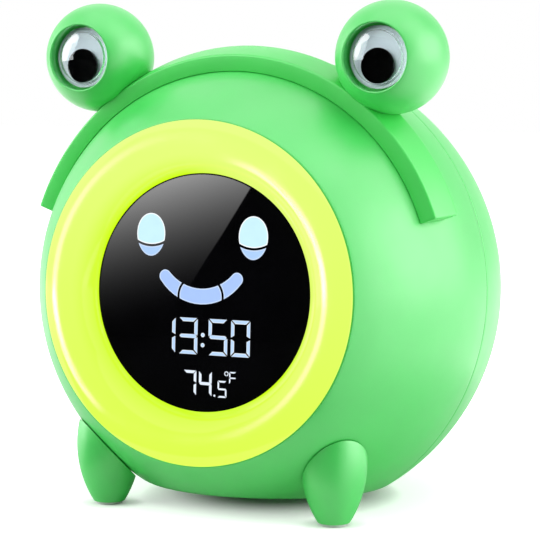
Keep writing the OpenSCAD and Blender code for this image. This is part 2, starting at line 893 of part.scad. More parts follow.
// Section of the headband: it follows the ball inside and out, with rounded outer corners
module band_profile() {
  round_f = [band_rear + band_round, band_front - band_round];
  round_at = [for (f = round_f) [sqrt(pow(band_out - band_round, 2) - pow(f, 2)), f]];
  outer = [for (f = round_f) asin(f / (band_out - band_round))];
  inner = [for (f = [band_front, band_rear]) asin(f / band_in)];
  polygon(concat(
    arc_points(round_at[0], band_round, -90, outer[0], 5),
    arc_points([0, 0], band_out, outer[0], outer[1], 8),
    arc_points(round_at[1], band_round, outer[1], 90, 5),
    arc_points([0, 0], band_in, inner[0], inner[1], 8)
  ));
}

module headband() {
  color(band_green) leaned() difference() {
    union() {
      facing() rotate(band_end) rotate_extrude(angle = 180 - 2 * band_end) band_profile();
      for (s = [-1, 1]) band_peg(s, peg_r);
    }
    for (s = [-1, 1]) towards_eye(s) cylinder(r = screw_r + fit_gap, h = far);
  }
}

// ---------------------------------------------------------------- eyes

// Half section of an eyeball about its viewing axis
module eyeball_profile() {
  grow = eye_r / (eye_r - socket_round);
  difference() {
    intersection() {
      circle(eye_r);
      translate([0, -eye_r]) square([eye_r, 2 * eye_r]);
    }
    difference() {
      circle(eye_r - eye_wall);
      translate([0, seat_f - seat_t]) square([socket_r + eye_wall, far]);
    }
    translate([-eps, seat_f]) square([socket_r + eps, far]);
    fillet_cut([rim_r, rim_f], socket_round, [socket_r, rim_f],
      [socket_r, sqrt(pow(eye_r, 2) - pow(socket_r, 2))], [rim_r * grow, rim_f * grow]);
  }
}

module eyeball(side) {
  color(green) difference() {
    union() {
      eye_frame(side) rotate_extrude() eyeball_profile();
      intersection() {
        eye_frame(side) sphere(eye_r - eye_wall / 2);
        leaned() towards_eye(side) cylinder(r = eye_boss_r, h = band_out + 7);
      }
    }
    leaned() {
      intersection() {
        sphere(band_out + fit_gap);
        translate([-far / 2, -band_front - fit_gap, 0])
          cube([far, band_front - band_rear + 2 * fit_gap, far]);
      }
      towards_eye(side) cylinder(r = screw_r + pilot_gap, h = band_out + 6);
    }
  }
}

module eye_white(side) {
  color("white") eye_frame(side) translate([0, 0, seat_f]) cylinder(r = wiggle_r, h = white_t);
}

module pupil(side) {
  color("black") eye_frame(side) translate([0, -pupil_drop, white_f + pupil_lift])
    cylinder(r = pupil_r, h = pupil_t);
}

// Clear cover: flange, upright wall and a shallow dome
module dome_profile() {
  wall_h = pupil_lift + pupil_t + 0.35;
  rise = dome_h + dome_t - wall_h;
  ball = (pow(cup_r + dome_t, 2) + pow(rise, 2)) / (2 * rise);
  difference() {
    union() {
      square([wiggle_r, dome_t]);
      square([cup_r + dome_t, wall_h]);
      intersection() {
        translate([0, wall_h + rise - ball]) circle(ball);
        translate([0, wall_h - eps]) square([cup_r + dome_t, far]);
      }
    }
    translate([-eps, -eps]) square([cup_r + eps, wall_h - dome_t / 2 + eps]);
    intersection() {
      translate([0, wall_h + rise - ball]) circle(ball - dome_t);
      translate([-eps, 0]) square([cup_r + eps, far]);
    }
  }
}

module eye_dome(side) {
  color([0.8, 0.9, 1, 0.5]) eye_frame(side) translate([0, 0, white_f]) rotate_extrude() dome_profile();
}

module eye_screws() {
  color(steel) leaned() for (s = [-1, 1])
    towards_eye(s) translate([0, 0, eye_head_z()]) mirror([0, 0, 1])
      screw(screw_r, eye_screw_len, head_r, head_t);
}

// ---------------------------------------------------------------- legs

// Where the leg screws' heads seat, from the table
function leg_head_z() = centre_h - sqrt(pow(inner_r, 2) - pow(leg_x, 2) - pow(leg_f, 2)) + leg_ledge;

// The barrel's side from its rounded lower end up to its widest place
module leg_profile() {
  low = asin((leg_tangent_y - leg_widest) / leg_curve);
  side = [for (i = [0 : 12]) let (a = low * (1 - i / 12))
    leg_big_c + leg_curve * [cos(a), sin(a)]];
  corner = [for (a = [-90 : 15 : low]) [leg_corner_x, leg_corner_y] + leg_round * [cos(a), sin(a)]];
  polygon(concat([[0, pad_t]], corner, side, [[leg_r, leg_top], [0, leg_top]]));
}

module leg(side) {
  color(green) difference() {
    leg_frame(side) rotate_extrude() leg_profile();
    leaned() sphere(body_r + leg_gap);
    leg_frame(side) {
      translate([0, 0, leg_head_z() - leg_screw_len - 1]) cylinder(r = screw_r + pilot_gap, h = far / 4);
      translate([0, 0, pad_t - eps]) cylinder(r = pad_r + fit_gap, h = pad_sunk);
    }
  }
}

module foot_pad(side) {
  color(milky) leg_frame(side) cylinder(r = pad_r, h = pad_t + pad_sunk - eps);
}

module leg_screws() {
  color(steel) for (s = [-1, 1]) leg_frame(s)
    translate([0, 0, leg_head_z()]) screw(screw_r, leg_screw_len, head_r, head_t);
}

// ---------------------------------------------------------------- rear panel

// Where button i stands, from left to right as seen from behind
module button_place(i) {
  a = 90 + (2 - i) * button_step;
  translate([button_ring * cos(a), button_ring * sin(a), 0]) children();
}

// What each button's cap is engraved with
module button_mark(i) {
  if (i == 0) circle(0.9);
  if (i == 1) square([3, 0.6], center = true);
  if (i == 2) difference() {
    circle(1.5);
    circle(1);
  }
  if (i == 3) {
    square([3, 0.6], center = true);
    square([0.6, 3], center = true);
  }
  if (i == 4) polygon([[-1.3, -0.9], [1.3, -0.9], [0, 1.3]]);
}

module button_profile() {
  cap_h = wall + button_proud;
  translate([0, rear_in - button_flange_t]) square([button_r + button_flange, button_flange_t]);
  translate([0, rear_in - eps]) square([button_r, cap_h - button_round + eps]);
  translate([0, rear_in]) square([button_r - button_round, cap_h]);
  translate([button_r - button_round, rear_in + cap_h - button_round]) circle(button_round);
  translate([0, board_z + board_t + switch_h - stem_in])
    square([stem_r, rear_in - board_z - board_t - switch_h + stem_in - eps]);
}

module button(i) {
  color(band_green) leaned() backward() button_place(i) difference() {
    rotate_extrude() button_profile();
    translate([0, 0, rear_f + button_proud - 0.3]) linear_extrude(1) button_mark(i);
  }
}

module tact_switches() {
  floor_z = stem_in + button_travel + stem_floor_gap;
  color(graphite) leaned() backward() for (i = [0 : 4]) button_place(i)
    translate([0, 0, board_z + board_t]) difference() {
      block(switch_w, switch_w, switch_h);
      translate([0, 0, switch_h - floor_z]) cylinder(r = stem_r + button_gap, h = far);
    }
}

// The board's near side is at board_z, towards the middle of the clock
module button_board() {
  color(board_green) leaned() backward() difference() {
    translate([0, 0, board_z]) washer(board_out_r, board_in_r, board_t);
    for (a = post_angles)
      rotate(a) translate([post_at, 0, board_z - 1]) cylinder(r = small_screw_r + fit_gap, h = board_t + 2);
  }
}

module button_board_screws() {
  color(steel) leaned() backward() for (a = post_angles)
    rotate(a) translate([post_at, 0, board_z]) mirror([0, 0, 1])
      screw(small_screw_r, board_t + 4, small_head_r, small_head_t);
}

// The knob, at the right end of its travel as seen from behind
module power_knob() {
  plate_w = knob_w + 4 * knob_travel + 2 * button_gap + 1.2;
  color(graphite) leaned() backward() translate([knob_at[0] + knob_travel, knob_at[1], 0]) {
    translate([0, 0, rear_in - eps]) block(knob_w, knob_h, wall + knob_proud);
    for (x = [-1 : 1]) translate([x * 1.1, 0, rear_f + knob_proud - eps]) block(0.5, knob_h, 0.3);
    translate([0, 0, rear_in - knob_plate_t]) block(plate_w, knob_h + 1.6, knob_plate_t);
    translate([0, 0, board_z + board_t + slide_floor + stop_gap])
      block(knob_stem_w, knob_stem_h, board_drop - board_t - slide_floor - stop_gap - knob_plate_t + eps);
  }
}

module slide_switch() {
  color(steel) leaned() backward() translate([knob_at[0], knob_at[1], board_z + board_t]) difference() {
    block(9, 4.6, board_drop - board_t - knob_plate_t - stop_gap);
    translate([0, 0, slide_floor])
      block(knob_stem_w + 2 * (knob_travel + button_gap), knob_stem_h + 2 * button_gap, far);
  }
}

module charge_socket() {
  depth = rear_f - 0.3 - board_z - board_t;
  color(steel) leaned() backward() translate([socket_at[0], socket_at[1], board_z + board_t]) {
    difference() {
      slot(socket_w, socket_h, depth);
      translate([0, 0, depth - socket_depth])
        slot(socket_w - 2 * socket_t, socket_h - 2 * socket_t, socket_depth + 1);
    }
    translate([0, 0, depth - socket_depth - eps]) block(6.7, 0.7, socket_depth - 0.8);
  }
}

// A bead on two stiff legs, behind the vent holes
module temperature_sensor() {
  color(graphite) leaned() backward() translate([sensor_at[0], sensor_at[1], board_z + board_t]) {
    bead_z = board_drop - board_t - sensor_r - 0.4;
    translate([0, 0, bead_z - 1]) cylinder(r = sensor_r, h = 1);
    translate([0, 0, bead_z]) sphere(sensor_r);
    for (x = [-0.6, 0.6]) translate([x, 0, 0]) cylinder(r = 0.25, h = bead_z - 1 + eps);
  }
}

module basket_profile() {
  lip_z = rear_in - speaker_lip_t;
  back = lip_z - basket_drop;
  hole = magnet_r / 3;
  translate([speaker_r - speaker_lip_w, lip_z]) square([speaker_lip_w, speaker_lip_t]);
  polygon([[speaker_r - 1, lip_z + eps], [speaker_r - 1 - basket_t, lip_z + eps],
    [magnet_r - basket_t, back + basket_t], [hole, back + basket_t], [hole, back], [magnet_r, back]]);
}

module speaker_basket() {
  color(steel) leaned() backward() rotate_extrude() basket_profile();
}

module speaker_cone() {
  outer = speaker_r - speaker_lip_w;
  dish = magnet_r / 3;
  low = rear_in - speaker_lip_t - cone_depth;
  color(graphite) leaned() backward() rotate_extrude()
    polygon([[outer, low + cone_depth + cone_t], [outer, low + cone_depth], [dish, low], [0, low],
      [0, low + cone_t], [dish, low + cone_t]]);
}

module speaker_magnet() {
  color(graphite) leaned() backward()
    translate([0, 0, rear_in - speaker_lip_t - basket_drop - magnet_t]) cylinder(r = magnet_r, h = magnet_t);
}

// ---------------------------------------------------------------- power

module along_cell() {
  translate([0, cell_back, -cell_drop]) rotate([0, 90, 0]) children();
}

module battery_cell() {
  color("royalblue") leaned() along_cell() {
    translate([0, 0, -cell_len / 2]) cylinder(r = cell_r, h = cell_len - 1);
    translate([0, 0, cell_len / 2 - 1 - eps]) cylinder(r = 3, h = 1);
  }
}

module battery_cradle() {
  saddle_w = 2 * (cell_r + fit_gap + saddle_lip);
  color("white") leaned() difference() {
    union() {
      translate([0, cell_back, -base_in]) block(cradle_w, cradle_d, cradle_floor_t);
      for (s = [-1, 1])
        translate([s * saddle_x, cell_back, -base_in]) block(saddle_t, saddle_w, base_in - cell_drop);
    }
    along_cell() cylinder(r = cell_r + fit_gap, h = far, center = true);
  }
}

// ---------------------------------------------------------------- wiring

// One ring of a swept tube: centre p, direction d, radius r
function tube_ring(p, d, r) =
  let (u = cross(d, abs(d[2]) > 0.9 ? [1, 0, 0] : [0, 0, 1]), v = u / norm(u), w = cross(d, v) / norm(d))
  [for (a = [0 : 45 : 315]) p + r * cos(a) * v + r * sin(a) * w];

// A tube through a list of points
module tube(points, r) {
  n = len(points);
  dirs = [for (i = [0 : n - 1]) points[min(i + 1, n - 1)] - points[max(i - 1, 0)]];
  verts = [for (i = [0 : n - 1]) each tube_ring(points[i], dirs[i], r)];
  sides = [for (i = [0 : n - 2]) for (k = [0 : 7])
    [i * 8 + k, i * 8 + (k + 1) % 8, (i + 1) * 8 + (k + 1) % 8, (i + 1) * 8 + k]];
  caps = [[for (k = [7 : -1 : 0]) k], [for (k = [0 : 7]) (n - 1) * 8 + k]];
  polyhedron(points = verts, faces = concat(caps, sides));
}

// A smooth curve from a to b that starts along ta and arrives along tb
function bend(a, ta, tb, b, steps) =
  [for (i = [0 : steps]) let (t = i / steps, s = 1 - t)
    s * s * s * a + 3 * s * s * t * (a + ta) + 3 * s * t * t * (b - tb) + t * t * t * b];

module battery_lead() {
  start = [plug_x[0], plug_y, plug_z];
  end = [-cell_len / 2 + wire_bow / 2, cell_back, -cell_drop + cell_r + wire_r];
  arrive = [-wire_bow, wire_bow / 2, 0];
  color("red") leaned() tube(bend(start, [0, wire_bow, 0], arrive, end, 16), wire_r);
}

module speaker_lead() {
  start = [plug_x[1], plug_y, plug_z];
  end = [plug_x[1], rear_in - speaker_lip_t - basket_drop - magnet_t, 0];
  color("black") leaned() tube(bend(start, [0, wire_bow, 0], [0, wire_bow, 0], end, 16), wire_r);
}

module button_ribbon() {
  start = [plug_x[2], plug_y, plug_z];
  end = [ribbon_end[0], board_z, ribbon_end[1]];
  color("gray") leaned() tube(bend(start, [0, ribbon_bow, 0], [0, ribbon_bow, 0], end, 16), wire_r);
}

// ---------------------------------------------------------------- draw

front_shell();
rear_shell();
light_ring();
display_face();
icon_diffuser();
display_reflector();
display_board();
display_leds();
ring_board();
ring_leds();
inner_frame();
main_board();
board_components();
headband();
eyeball(-1);  // left_eyeball
eyeball(1);  // right_eyeball
eye_white(-1);  // left_eye_white
eye_white(1);  // right_eye_white
pupil(-1);  // left_pupil
pupil(1);  // right_pupil
eye_dome(-1);  // left_eye_dome
eye_dome(1);  // right_eye_dome
leg(-1);  // left_leg
leg(1);  // right_leg
foot_pad(-1);  // left_foot_pad
foot_pad(1);  // right_foot_pad
rear_foot_pads();
button(0);  // light_button
button(1);  // down_button
button(2);  // mode_button
button(3);  // up_button
button(4);  // alarm_button
power_knob();
slide_switch();
button_board();
tact_switches();
charge_socket();
temperature_sensor();
speaker_basket();
speaker_cone();
speaker_magnet();
battery_cell();
battery_cradle();
case_screws();
frame_screws();
main_board_screws();
button_board_screws();
eye_screws();
leg_screws();
battery_lead();
speaker_lead();
button_ribbon();
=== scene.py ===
"""Bedside alarm clock for children: fine shapes, finishes, studio and camera.

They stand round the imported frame. Meshes are drawn in millimetres in a piece's own frame, and
then put in place in metres.
"""

import json
import logging
import math
from contextlib import contextmanager
from dataclasses import dataclass, field
from enum import Enum
from typing import Any, Callable, Iterable, Iterator, Sequence

import bmesh
import bpy
from bpy.types import ID, Material, Mesh, Node, NodeSocket, NodeTree, Object
from mathutils import Matrix, Vector

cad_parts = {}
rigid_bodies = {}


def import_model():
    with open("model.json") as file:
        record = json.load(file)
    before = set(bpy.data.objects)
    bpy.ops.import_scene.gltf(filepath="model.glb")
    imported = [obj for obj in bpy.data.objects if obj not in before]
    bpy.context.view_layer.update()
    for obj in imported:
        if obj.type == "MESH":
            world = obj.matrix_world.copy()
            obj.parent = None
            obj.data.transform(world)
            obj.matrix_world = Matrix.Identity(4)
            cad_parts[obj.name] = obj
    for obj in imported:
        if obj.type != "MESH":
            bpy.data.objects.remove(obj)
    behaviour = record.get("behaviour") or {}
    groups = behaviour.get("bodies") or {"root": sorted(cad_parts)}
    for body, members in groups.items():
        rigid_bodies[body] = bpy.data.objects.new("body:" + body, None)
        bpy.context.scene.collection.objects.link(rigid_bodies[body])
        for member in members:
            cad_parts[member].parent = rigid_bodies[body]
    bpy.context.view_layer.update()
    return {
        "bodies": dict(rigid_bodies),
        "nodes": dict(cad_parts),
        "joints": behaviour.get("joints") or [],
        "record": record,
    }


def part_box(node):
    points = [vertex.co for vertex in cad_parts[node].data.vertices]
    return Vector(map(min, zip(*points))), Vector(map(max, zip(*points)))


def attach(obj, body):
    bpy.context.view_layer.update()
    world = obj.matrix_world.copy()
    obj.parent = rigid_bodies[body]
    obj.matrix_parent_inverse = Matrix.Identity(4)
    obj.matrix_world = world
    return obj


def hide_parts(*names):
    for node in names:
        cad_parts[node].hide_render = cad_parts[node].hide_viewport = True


LOG = logging.getLogger("alarm_clock")
MM = 0.001
SLIVER = 0.0004
Point = tuple[float, float]
Colour = tuple[float, float, float]


def paint(code: str) -> Colour:
    """Turns a display colour such as "8EE998" into linear light.

    Args:
        code: Six hexadecimal digits: red, green and blue.

    Returns:
        The colour's three parts, as a shader takes them.
    """
    parts = (int(code[i : i + 2], 16) / 255 for i in (0, 2, 4))
    return tuple(p / 12.92 if p <= 0.04045 else ((p + 0.055) / 1.055) ** 2.4 for p in parts)


def scaled(colour: Colour, factor: float) -> Colour:
    """Multiplies a colour's three parts by one factor."""
    return tuple(part * factor for part in colour)


# ---------------------------------------------------------------- places


@dataclass(frozen=True)
class Ball:
    """The housing's sizes in millimetres, and the frames that hang from them."""

    radius: float = 60.0
    wall: float = 2.2
    lean: float = 2.8
    ring_radius: float = 42.75
    panel_radius: float = 29.9
    base_radius: float = 31.0
    base_gap: float = 3.4
    seam_front: float = -0.5
    seam_rear: float = 0.7
    leg_ahead: float = 29.4

    @property
    def inner(self) -> float:
        """Radius of the wall's inner face."""
        return self.radius - self.wall

    @property
    def face(self) -> float:
        """Distance of the front opening's plane ahead of the centre."""
        return math.sqrt(self.radius**2 - self.ring_radius**2)

    @property
    def panel(self) -> float:
        """Distance of the rear panel behind the centre."""
        return math.sqrt(self.radius**2 - self.panel_radius**2)

    @property
    def drop(self) -> float:
        """Distance of the flat base below the centre."""
        return math.sqrt(self.radius**2 - self.base_radius**2)

    @property
    def leaned(self) -> Matrix:
        """Frame at the ball's centre that leans back with the clock."""
        low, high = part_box("left_foot_pad")
        centre_y = (low.y + high.y) / 2 + self.leg_ahead * MM
        place = Matrix.Translation((0, centre_y, (self.drop + self.base_gap) * MM))
        return place @ Matrix.Rotation(math.radians(-self.lean), 4, "X")

    @property
    def facing(self) -> Matrix:
        """Frame with x to the right, y up and z out of the face."""
        return self.leaned @ Matrix.Rotation(math.pi / 2, 4, "X")

    @property
    def backward(self) -> Matrix:
        """Frame with z out of the back and y up."""
        return self.leaned @ Matrix.Rotation(math.pi, 4, "Z") @ Matrix.Rotation(math.pi / 2, 4, "X")

    def towards(self, angle: float, ahead: float) -> Matrix:
        """Frame whose z runs out of the ball.

        Args:
            angle: Turn from the top of the head to the right, in degrees.
            ahead: Distance of the frame's plane ahead of the centre, in millimetres.

        Returns:
            The frame, at the ball's axis.
        """
        shift = Matrix.Translation((0, -ahead * MM, 0))
        return self.leaned @ shift @ Matrix.Rotation(math.radians(angle), 4, "Y")


@dataclass(frozen=True)
class Leg:
    """A leg's sizes in millimetres; its frame stands upright on the table."""

    side: float = 31.8
    radius: float = 8.2
    widest: float = 15.6
    curve: float = 28.5
    round: float = 0.4
    top_round: float = 0.3
    pad: float = 3.2
    pad_height: float = 0.7
    pad_sunk: float = 0.8
    pad_room: float = 0.1
    gap: float = 0.3
    boss_height: float = 3.4
    pilot: float = 1.33
    pilot_depth: float = 13.0

    def frame(self, sign: int, ball: Ball) -> Matrix:
        """Frame on the table at the middle of one leg's pad."""
        centre = ball.leaned.translation
        return Matrix.Translation((sign * self.side * MM, centre.y - ball.leg_ahead * MM, 0))

    def screw_seat(self, ball: Ball) -> float:
        """Height of the screw's head over the table, on its boss inside the ball."""
        reach = math.sqrt(ball.inner**2 - self.side**2 - ball.leg_ahead**2)
        return ball.drop + ball.base_gap - reach + self.boss_height


def relative(frame: Matrix, base: Matrix) -> Matrix:
    """A frame's place in another one, with its shift in millimetres."""
    moved = base.inverted() @ frame
    moved.translation /= MM
    return moved


# ---------------------------------------------------------------- meshes


def on_circle(radius: float, degrees: float) -> Point:
    """The point at a radius and an angle."""
    turn = math.radians(degrees)
    return radius * math.cos(turn), radius * math.sin(turn)


def spread(start: float, end: float, steps: int) -> list[float]:
    """Evenly spaced values, from start to end."""
    return [start + (end - start) * i / steps for i in range(steps + 1)]


def arc(
    centre: Sequence[float], radius: float, start: float, end: float, steps: int
) -> list[Point]:
    """Points along an arc, with its angles in radians."""
    x, y = centre
    turns = spread(start, end, steps)
    return [(x + radius * math.cos(a), y + radius * math.sin(a)) for a in turns]


def rounded_disc(radius: float, low: float, high: float, edge: float, steps: int) -> list[Point]:
    """Half section of a disc with two rounded edges, up to where its flat top starts."""
    section = [(0, low), (radius - edge, low)]
    section += arc((radius - edge, low + edge), edge, -math.pi / 2, 0, steps)[1:]
    return section + arc((radius - edge, high - edge), edge, 0, math.pi / 2, steps)


def round_faces(row: Sequence[int], following: Sequence[int]) -> list[list[int]]:
    """Faces between two closed rows of points; a row may be one point, repeated."""
    faces = []
    for i in range(len(row)):
        j = (i + 1) % len(row)
        corners = list(dict.fromkeys((row[i], row[j], following[j], following[i])))
        if len(corners) > 2:
            faces.append(corners)
    return faces


def grid_faces(rows: int, columns: int) -> list[tuple[int, ...]]:
    """Faces over a grid of points that stand row after row."""
    starts = [i * columns + j for i in range(rows - 1) for j in range(columns - 1)]
    return [(a, a + 1, a + columns + 1, a + columns) for a in starts]


def soft_max(value: float, floor: float, blend: float) -> float:
    """The larger of two values, rounded off where they meet."""
    overlap = max(blend - abs(value - floor), 0) / blend
    return max(value, floor) + overlap * overlap * blend / 4


@contextmanager
def edited(mesh: Mesh) -> Iterator[bmesh.types.BMesh]:
    """Opens a mesh for changes, and writes them back."""
    work = bmesh.new()
    work.from_mesh(mesh)
    yield work
    work.to_mesh(mesh)
    work.free()


def placed(name: str, data: ID) -> Object:
    """Puts a new object over a mesh, a curve, a lamp or a camera in the scene."""
    item = bpy.data.objects.new(name, data)
    bpy.context.scene.collection.objects.link(item)
    return item


def discard(*items: Object) -> None:
    """Takes scratch objects away with their data."""
    for item in items:
        data = item.data
        bpy.data.objects.remove(item)
        bpy.data.batch_remove([data])


def evaluated(item: Object, name: str) -> Mesh:
    """Turns a scratch object's evaluated shape into a plain mesh."""
    graph = bpy.context.evaluated_depsgraph_get()
    mesh = bpy.data.meshes.new_from_object(item.evaluated_get(graph), depsgraph=graph)
    mesh.name = name
    return mesh


class Solid:
    """A closed mesh in millimetres, on its way to a frame."""

    def __init__(
        self, name: str, points: Sequence[Sequence[float]] = (), faces: Sequence[Sequence[int]] = ()
    ) -> None:
        """Makes the mesh from points and faces."""
        self.name = name
        self.mesh = bpy.data.meshes.new(name)
        self.mesh.from_pydata([tuple(p) for p in points], [], [tuple(f) for f in faces])
        self.mesh.update()

    @classmethod
    def of(cls, name: str, mesh: Mesh) -> "Solid":
        """Wraps a mesh that is there already."""
        solid = cls(name)
        bpy.data.meshes.remove(solid.mesh)
        solid.mesh = mesh
        return solid

    @classmethod
    def lathe(cls, name: str, section: Sequence[Point], steps: int = 96) -> "Solid":
        """Revolves a closed section about z.

        Args:
            name: The mesh's name.
            section: Radius and height of each corner, anticlockwise.
            steps: How many times the section is repeated round the axis.

        Returns:
            The revolved solid; a corner on the axis becomes one point.
        """
        points: list[Vector] = []
        rows: list[list[int]] = []
        for radius, height in section:
            start = len(points)
            if radius < 1e-6:
                points.append(Vector((0, 0, height)))
                rows.append([start] * steps)
                continue
            for i in range(steps):
                a = 2 * math.pi * i / steps
                points.append(Vector((radius * math.cos(a), radius * math.sin(a), height)))
            rows.append(list(range(start, start + steps)))
        pairs = zip(rows, rows[1:] + rows[:1])
        return cls(name, points, [face for pair in pairs for face in round_faces(*pair)])

    @classmethod
    def rod(
        cls, radius: float, low: float, high: float, at: Point = (0, 0), steps: int = 40
    ) -> "Solid":
        """A round bar along z, from low to high."""
        bar = cls.lathe("rod", [(0, low), (radius, low), (radius, high), (0, high)], steps)
        return bar.moved(Matrix.Translation((at[0], at[1], 0)))

    @classmethod
    def prism(cls, outline: Sequence[Point], low: float, high: float) -> "Solid":
        """An upright prism over an anticlockwise outline."""
        count = len(outline)
        points = [(x, y, z) for z in (low, high) for x, y in outline]
        sides = [(i, (i + 1) % count, (i + 1) % count + count, i + count) for i in range(count)]
        caps = [tuple(reversed(range(count))), tuple(range(count, 2 * count))]
        return cls("prism", points, sides + caps)

    def moved(self, matrix: Matrix) -> "Solid":
        """Moves the mesh and returns the solid."""
        self.mesh.transform(matrix)
        return self

    def shaped(self, rule: Callable[[Vector], Sequence[float]]) -> "Solid":
        """Puts every point where a rule says, and returns the solid."""
        for vertex in self.mesh.vertices:
            vertex.co = rule(vertex.co.copy())
        self.mesh.update()
        return self

    def cleaned(self) -> "Solid":
        """Takes out slivers that the cuts leave, and returns the solid."""
        with edited(self.mesh) as work:
            bmesh.ops.dissolve_degenerate(work, dist=SLIVER, edges=work.edges[:])
        return self

    def joined(self, others: Iterable["Solid"]) -> "Solid":
        """Takes other solids into this mesh, without cutting either."""
        with edited(self.mesh) as work:
            for other in others:
                work.from_mesh(other.mesh)
                bpy.data.meshes.remove(other.mesh)
        return self

    def cut(self, tool: "Solid", how: str = "DIFFERENCE") -> "Solid":
        """Cuts, joins or keeps what a tool covers.

        Args:
            tool: The other solid, which is used up.
            how: DIFFERENCE, UNION or INTERSECT.

        Returns:
            This solid, with its new mesh.
        """
        pair = [placed(f"cut_{i}", s.mesh) for i, s in enumerate((self, tool))]
        modifier = pair[0].modifiers.new("cut", "BOOLEAN")
        modifier.solver = "MANIFOLD"
        modifier.operation = how
        modifier.object = pair[1]
        self.mesh = evaluated(pair[0], self.name)
        discard(*pair)
        return self

    def softened(self, width: float, angle: float = 40.0, steps: int = 3) -> "Solid":
        """Rounds the sharp edges.

        Args:
            width: The rounding's width in millimetres.
            angle: Only edges turned by more degrees than this are rounded.
            steps: Faces across the rounding.

        Returns:
            This solid, with its new mesh.
        """
        item = placed("soften", self.mesh)
        bevel = item.modifiers.new("soften", "BEVEL")
        bevel.width = width
        bevel.segments = steps
        bevel.limit_method = "ANGLE"
        bevel.angle_limit = math.radians(angle)
        self.mesh = evaluated(item, self.name)
        discard(item)
        return self


# ---------------------------------------------------------------- node trees


class Tree:
    """A node tree, with short calls for its nodes."""

    def __init__(self, tree: NodeTree) -> None:
        """Keeps the tree, and empties it."""
        self.tree = tree
        tree.nodes.clear()

    def give(self, socket: NodeSocket, value: Any) -> None:
        """Sets an input, or links another node's output to it."""
        if isinstance(value, NodeSocket):
            self.tree.links.new(value, socket)
        else:
            socket.default_value = value

    def node(self, kind: str, settings: dict[str, Any] | None = None, **inputs: Any) -> Node:
        """Adds a node.

        Args:
            kind: The node's type name.
            settings: Properties of the node itself.
            inputs: A value or a socket for each input, by its name with _ for a space,
                or by _ and its number.

        Returns:
            The new node.
        """
        node = self.tree.nodes.new(kind)
        for key, value in (settings or {}).items():
            setattr(node, key, value)
        for key, value in inputs.items():
            name = key.replace("_", " ")
            self.give(node.inputs[int(name) if name.strip().isdigit() else name], value)
        return node

    def maths(self, how: str, first: Any, second: Any = 0.0) -> NodeSocket:
        """One sum on two values."""
        return self.node("ShaderNodeMath", {"operation": how}, _0=first, _1=second).outputs[0]


class Shader(Tree):
    """A new material's tree."""

    def __init__(self, name: str) -> None:
        """Starts an empty tree with its output."""
        self.material = bpy.data.materials.new(name)
        self.material.use_nodes = True
        super().__init__(self.material.node_tree)
        self.output = self.node("ShaderNodeOutputMaterial")
        self.place = self.node("ShaderNodeTexCoord").outputs["Object"]

    def noise(self, size_mm: float, detail: float = 2.0, place: Any = None) -> NodeSocket:
        """Cloudy values whose features are about so many millimetres across."""
        vector = self.place if place is None else place
        sizes = {"Scale": 1 / (size_mm * MM), "Detail": detail}
        return self.node("ShaderNodeTexNoise", Vector=vector, **sizes).outputs["Fac"]

    def span(
        self, value: Any, low: float, high: float, start: float = 0.3, end: float = 0.7
    ) -> NodeSocket:
        """Maps start to end onto low to high, and holds it there."""
        ends = {"From_Min": start, "From_Max": end, "To_Min": low, "To_Max": high}
        node = self.node("ShaderNodeMapRange", {"clamp": True}, Value=value, **ends)
        return node.outputs["Result"]

    def mix(self, factor: Any, first: Any, second: Any) -> NodeSocket:
        """Mixes two colours."""
        node = self.node("ShaderNodeMix", {"data_type": "RGBA"}, Factor=factor)
        for index, value in ((6, first), (7, second)):
            plain = not isinstance(value, NodeSocket)
            self.give(node.inputs[index], (*value, 1) if plain else value)
        return node.outputs[2]

    def uneven(self, size_mm: float, detail: float, low: float, high: float) -> NodeSocket:
        """A value that drifts between two others."""
        return self.span(self.noise(size_mm, detail), low, high)

    def cloudy(
        self, size_mm: float, detail: float, colour: Colour, low: float, high: float
    ) -> NodeSocket:
        """A colour that drifts between two factors of itself."""
        cloud = self.uneven(size_mm, detail, 0, 1)
        return self.mix(cloud, scaled(colour, low), scaled(colour, high))

    def vectors(self, how: str, first: Any, second: Sequence[float] = (0, 0, 0)) -> Node:
        """One sum on two vectors."""
        return self.node("ShaderNodeVectorMath", {"operation": how}, _0=first, _1=tuple(second))

    def bump(self, height: Any, depth_mm: float, under: Any = None) -> NodeSocket:
        """A normal that follows a height of so many millimetres."""
        inputs = {"Height": height, "Distance": depth_mm * MM}
        if under is not None:
            inputs["Normal"] = under
        return self.node("ShaderNodeBump", **inputs).outputs["Normal"]

    def seen_from(self, frame: Matrix) -> NodeSocket:
        """The shaded point in a frame's own coordinates, in metres."""
        back = frame.inverted()
        mapping = self.node("ShaderNodeMapping", {"vector_type": "POINT"}, Vector=self.place)
        mapping.inputs["Location"].default_value = back.translation
        mapping.inputs["Rotation"].default_value = back.to_euler("XYZ")
        return mapping.outputs["Vector"]

    def end(self, shader: Node) -> Material:
        """Ends the tree in a shader, and returns the material."""
        self.give(self.output.inputs["Surface"], shader.outputs[0])
        return self.material

    def surface(self, **inputs: Any) -> Material:
        """Ends the tree in one principled shader, and returns the material."""
        for key, value in inputs.items():
            if isinstance(value, tuple):
                inputs[key] = (*value, 1)
        return self.end(self.node("ShaderNodeBsdfPrincipled", **inputs))

    def glow(self, strength: Any) -> Material:
        """Ends the tree in plain light, and returns the material."""
        return self.end(self.node("ShaderNodeEmission", Strength=strength))


class Socket(Enum):
    """Kinds of named input that a geometry tree takes."""

    LENGTH = "NodeSocketFloat"
    COUNT = "NodeSocketInt"
    CHOICE = "NodeSocketBool"
    PIECE = "NodeSocketObject"
    FINISH = "NodeSocketMaterial"


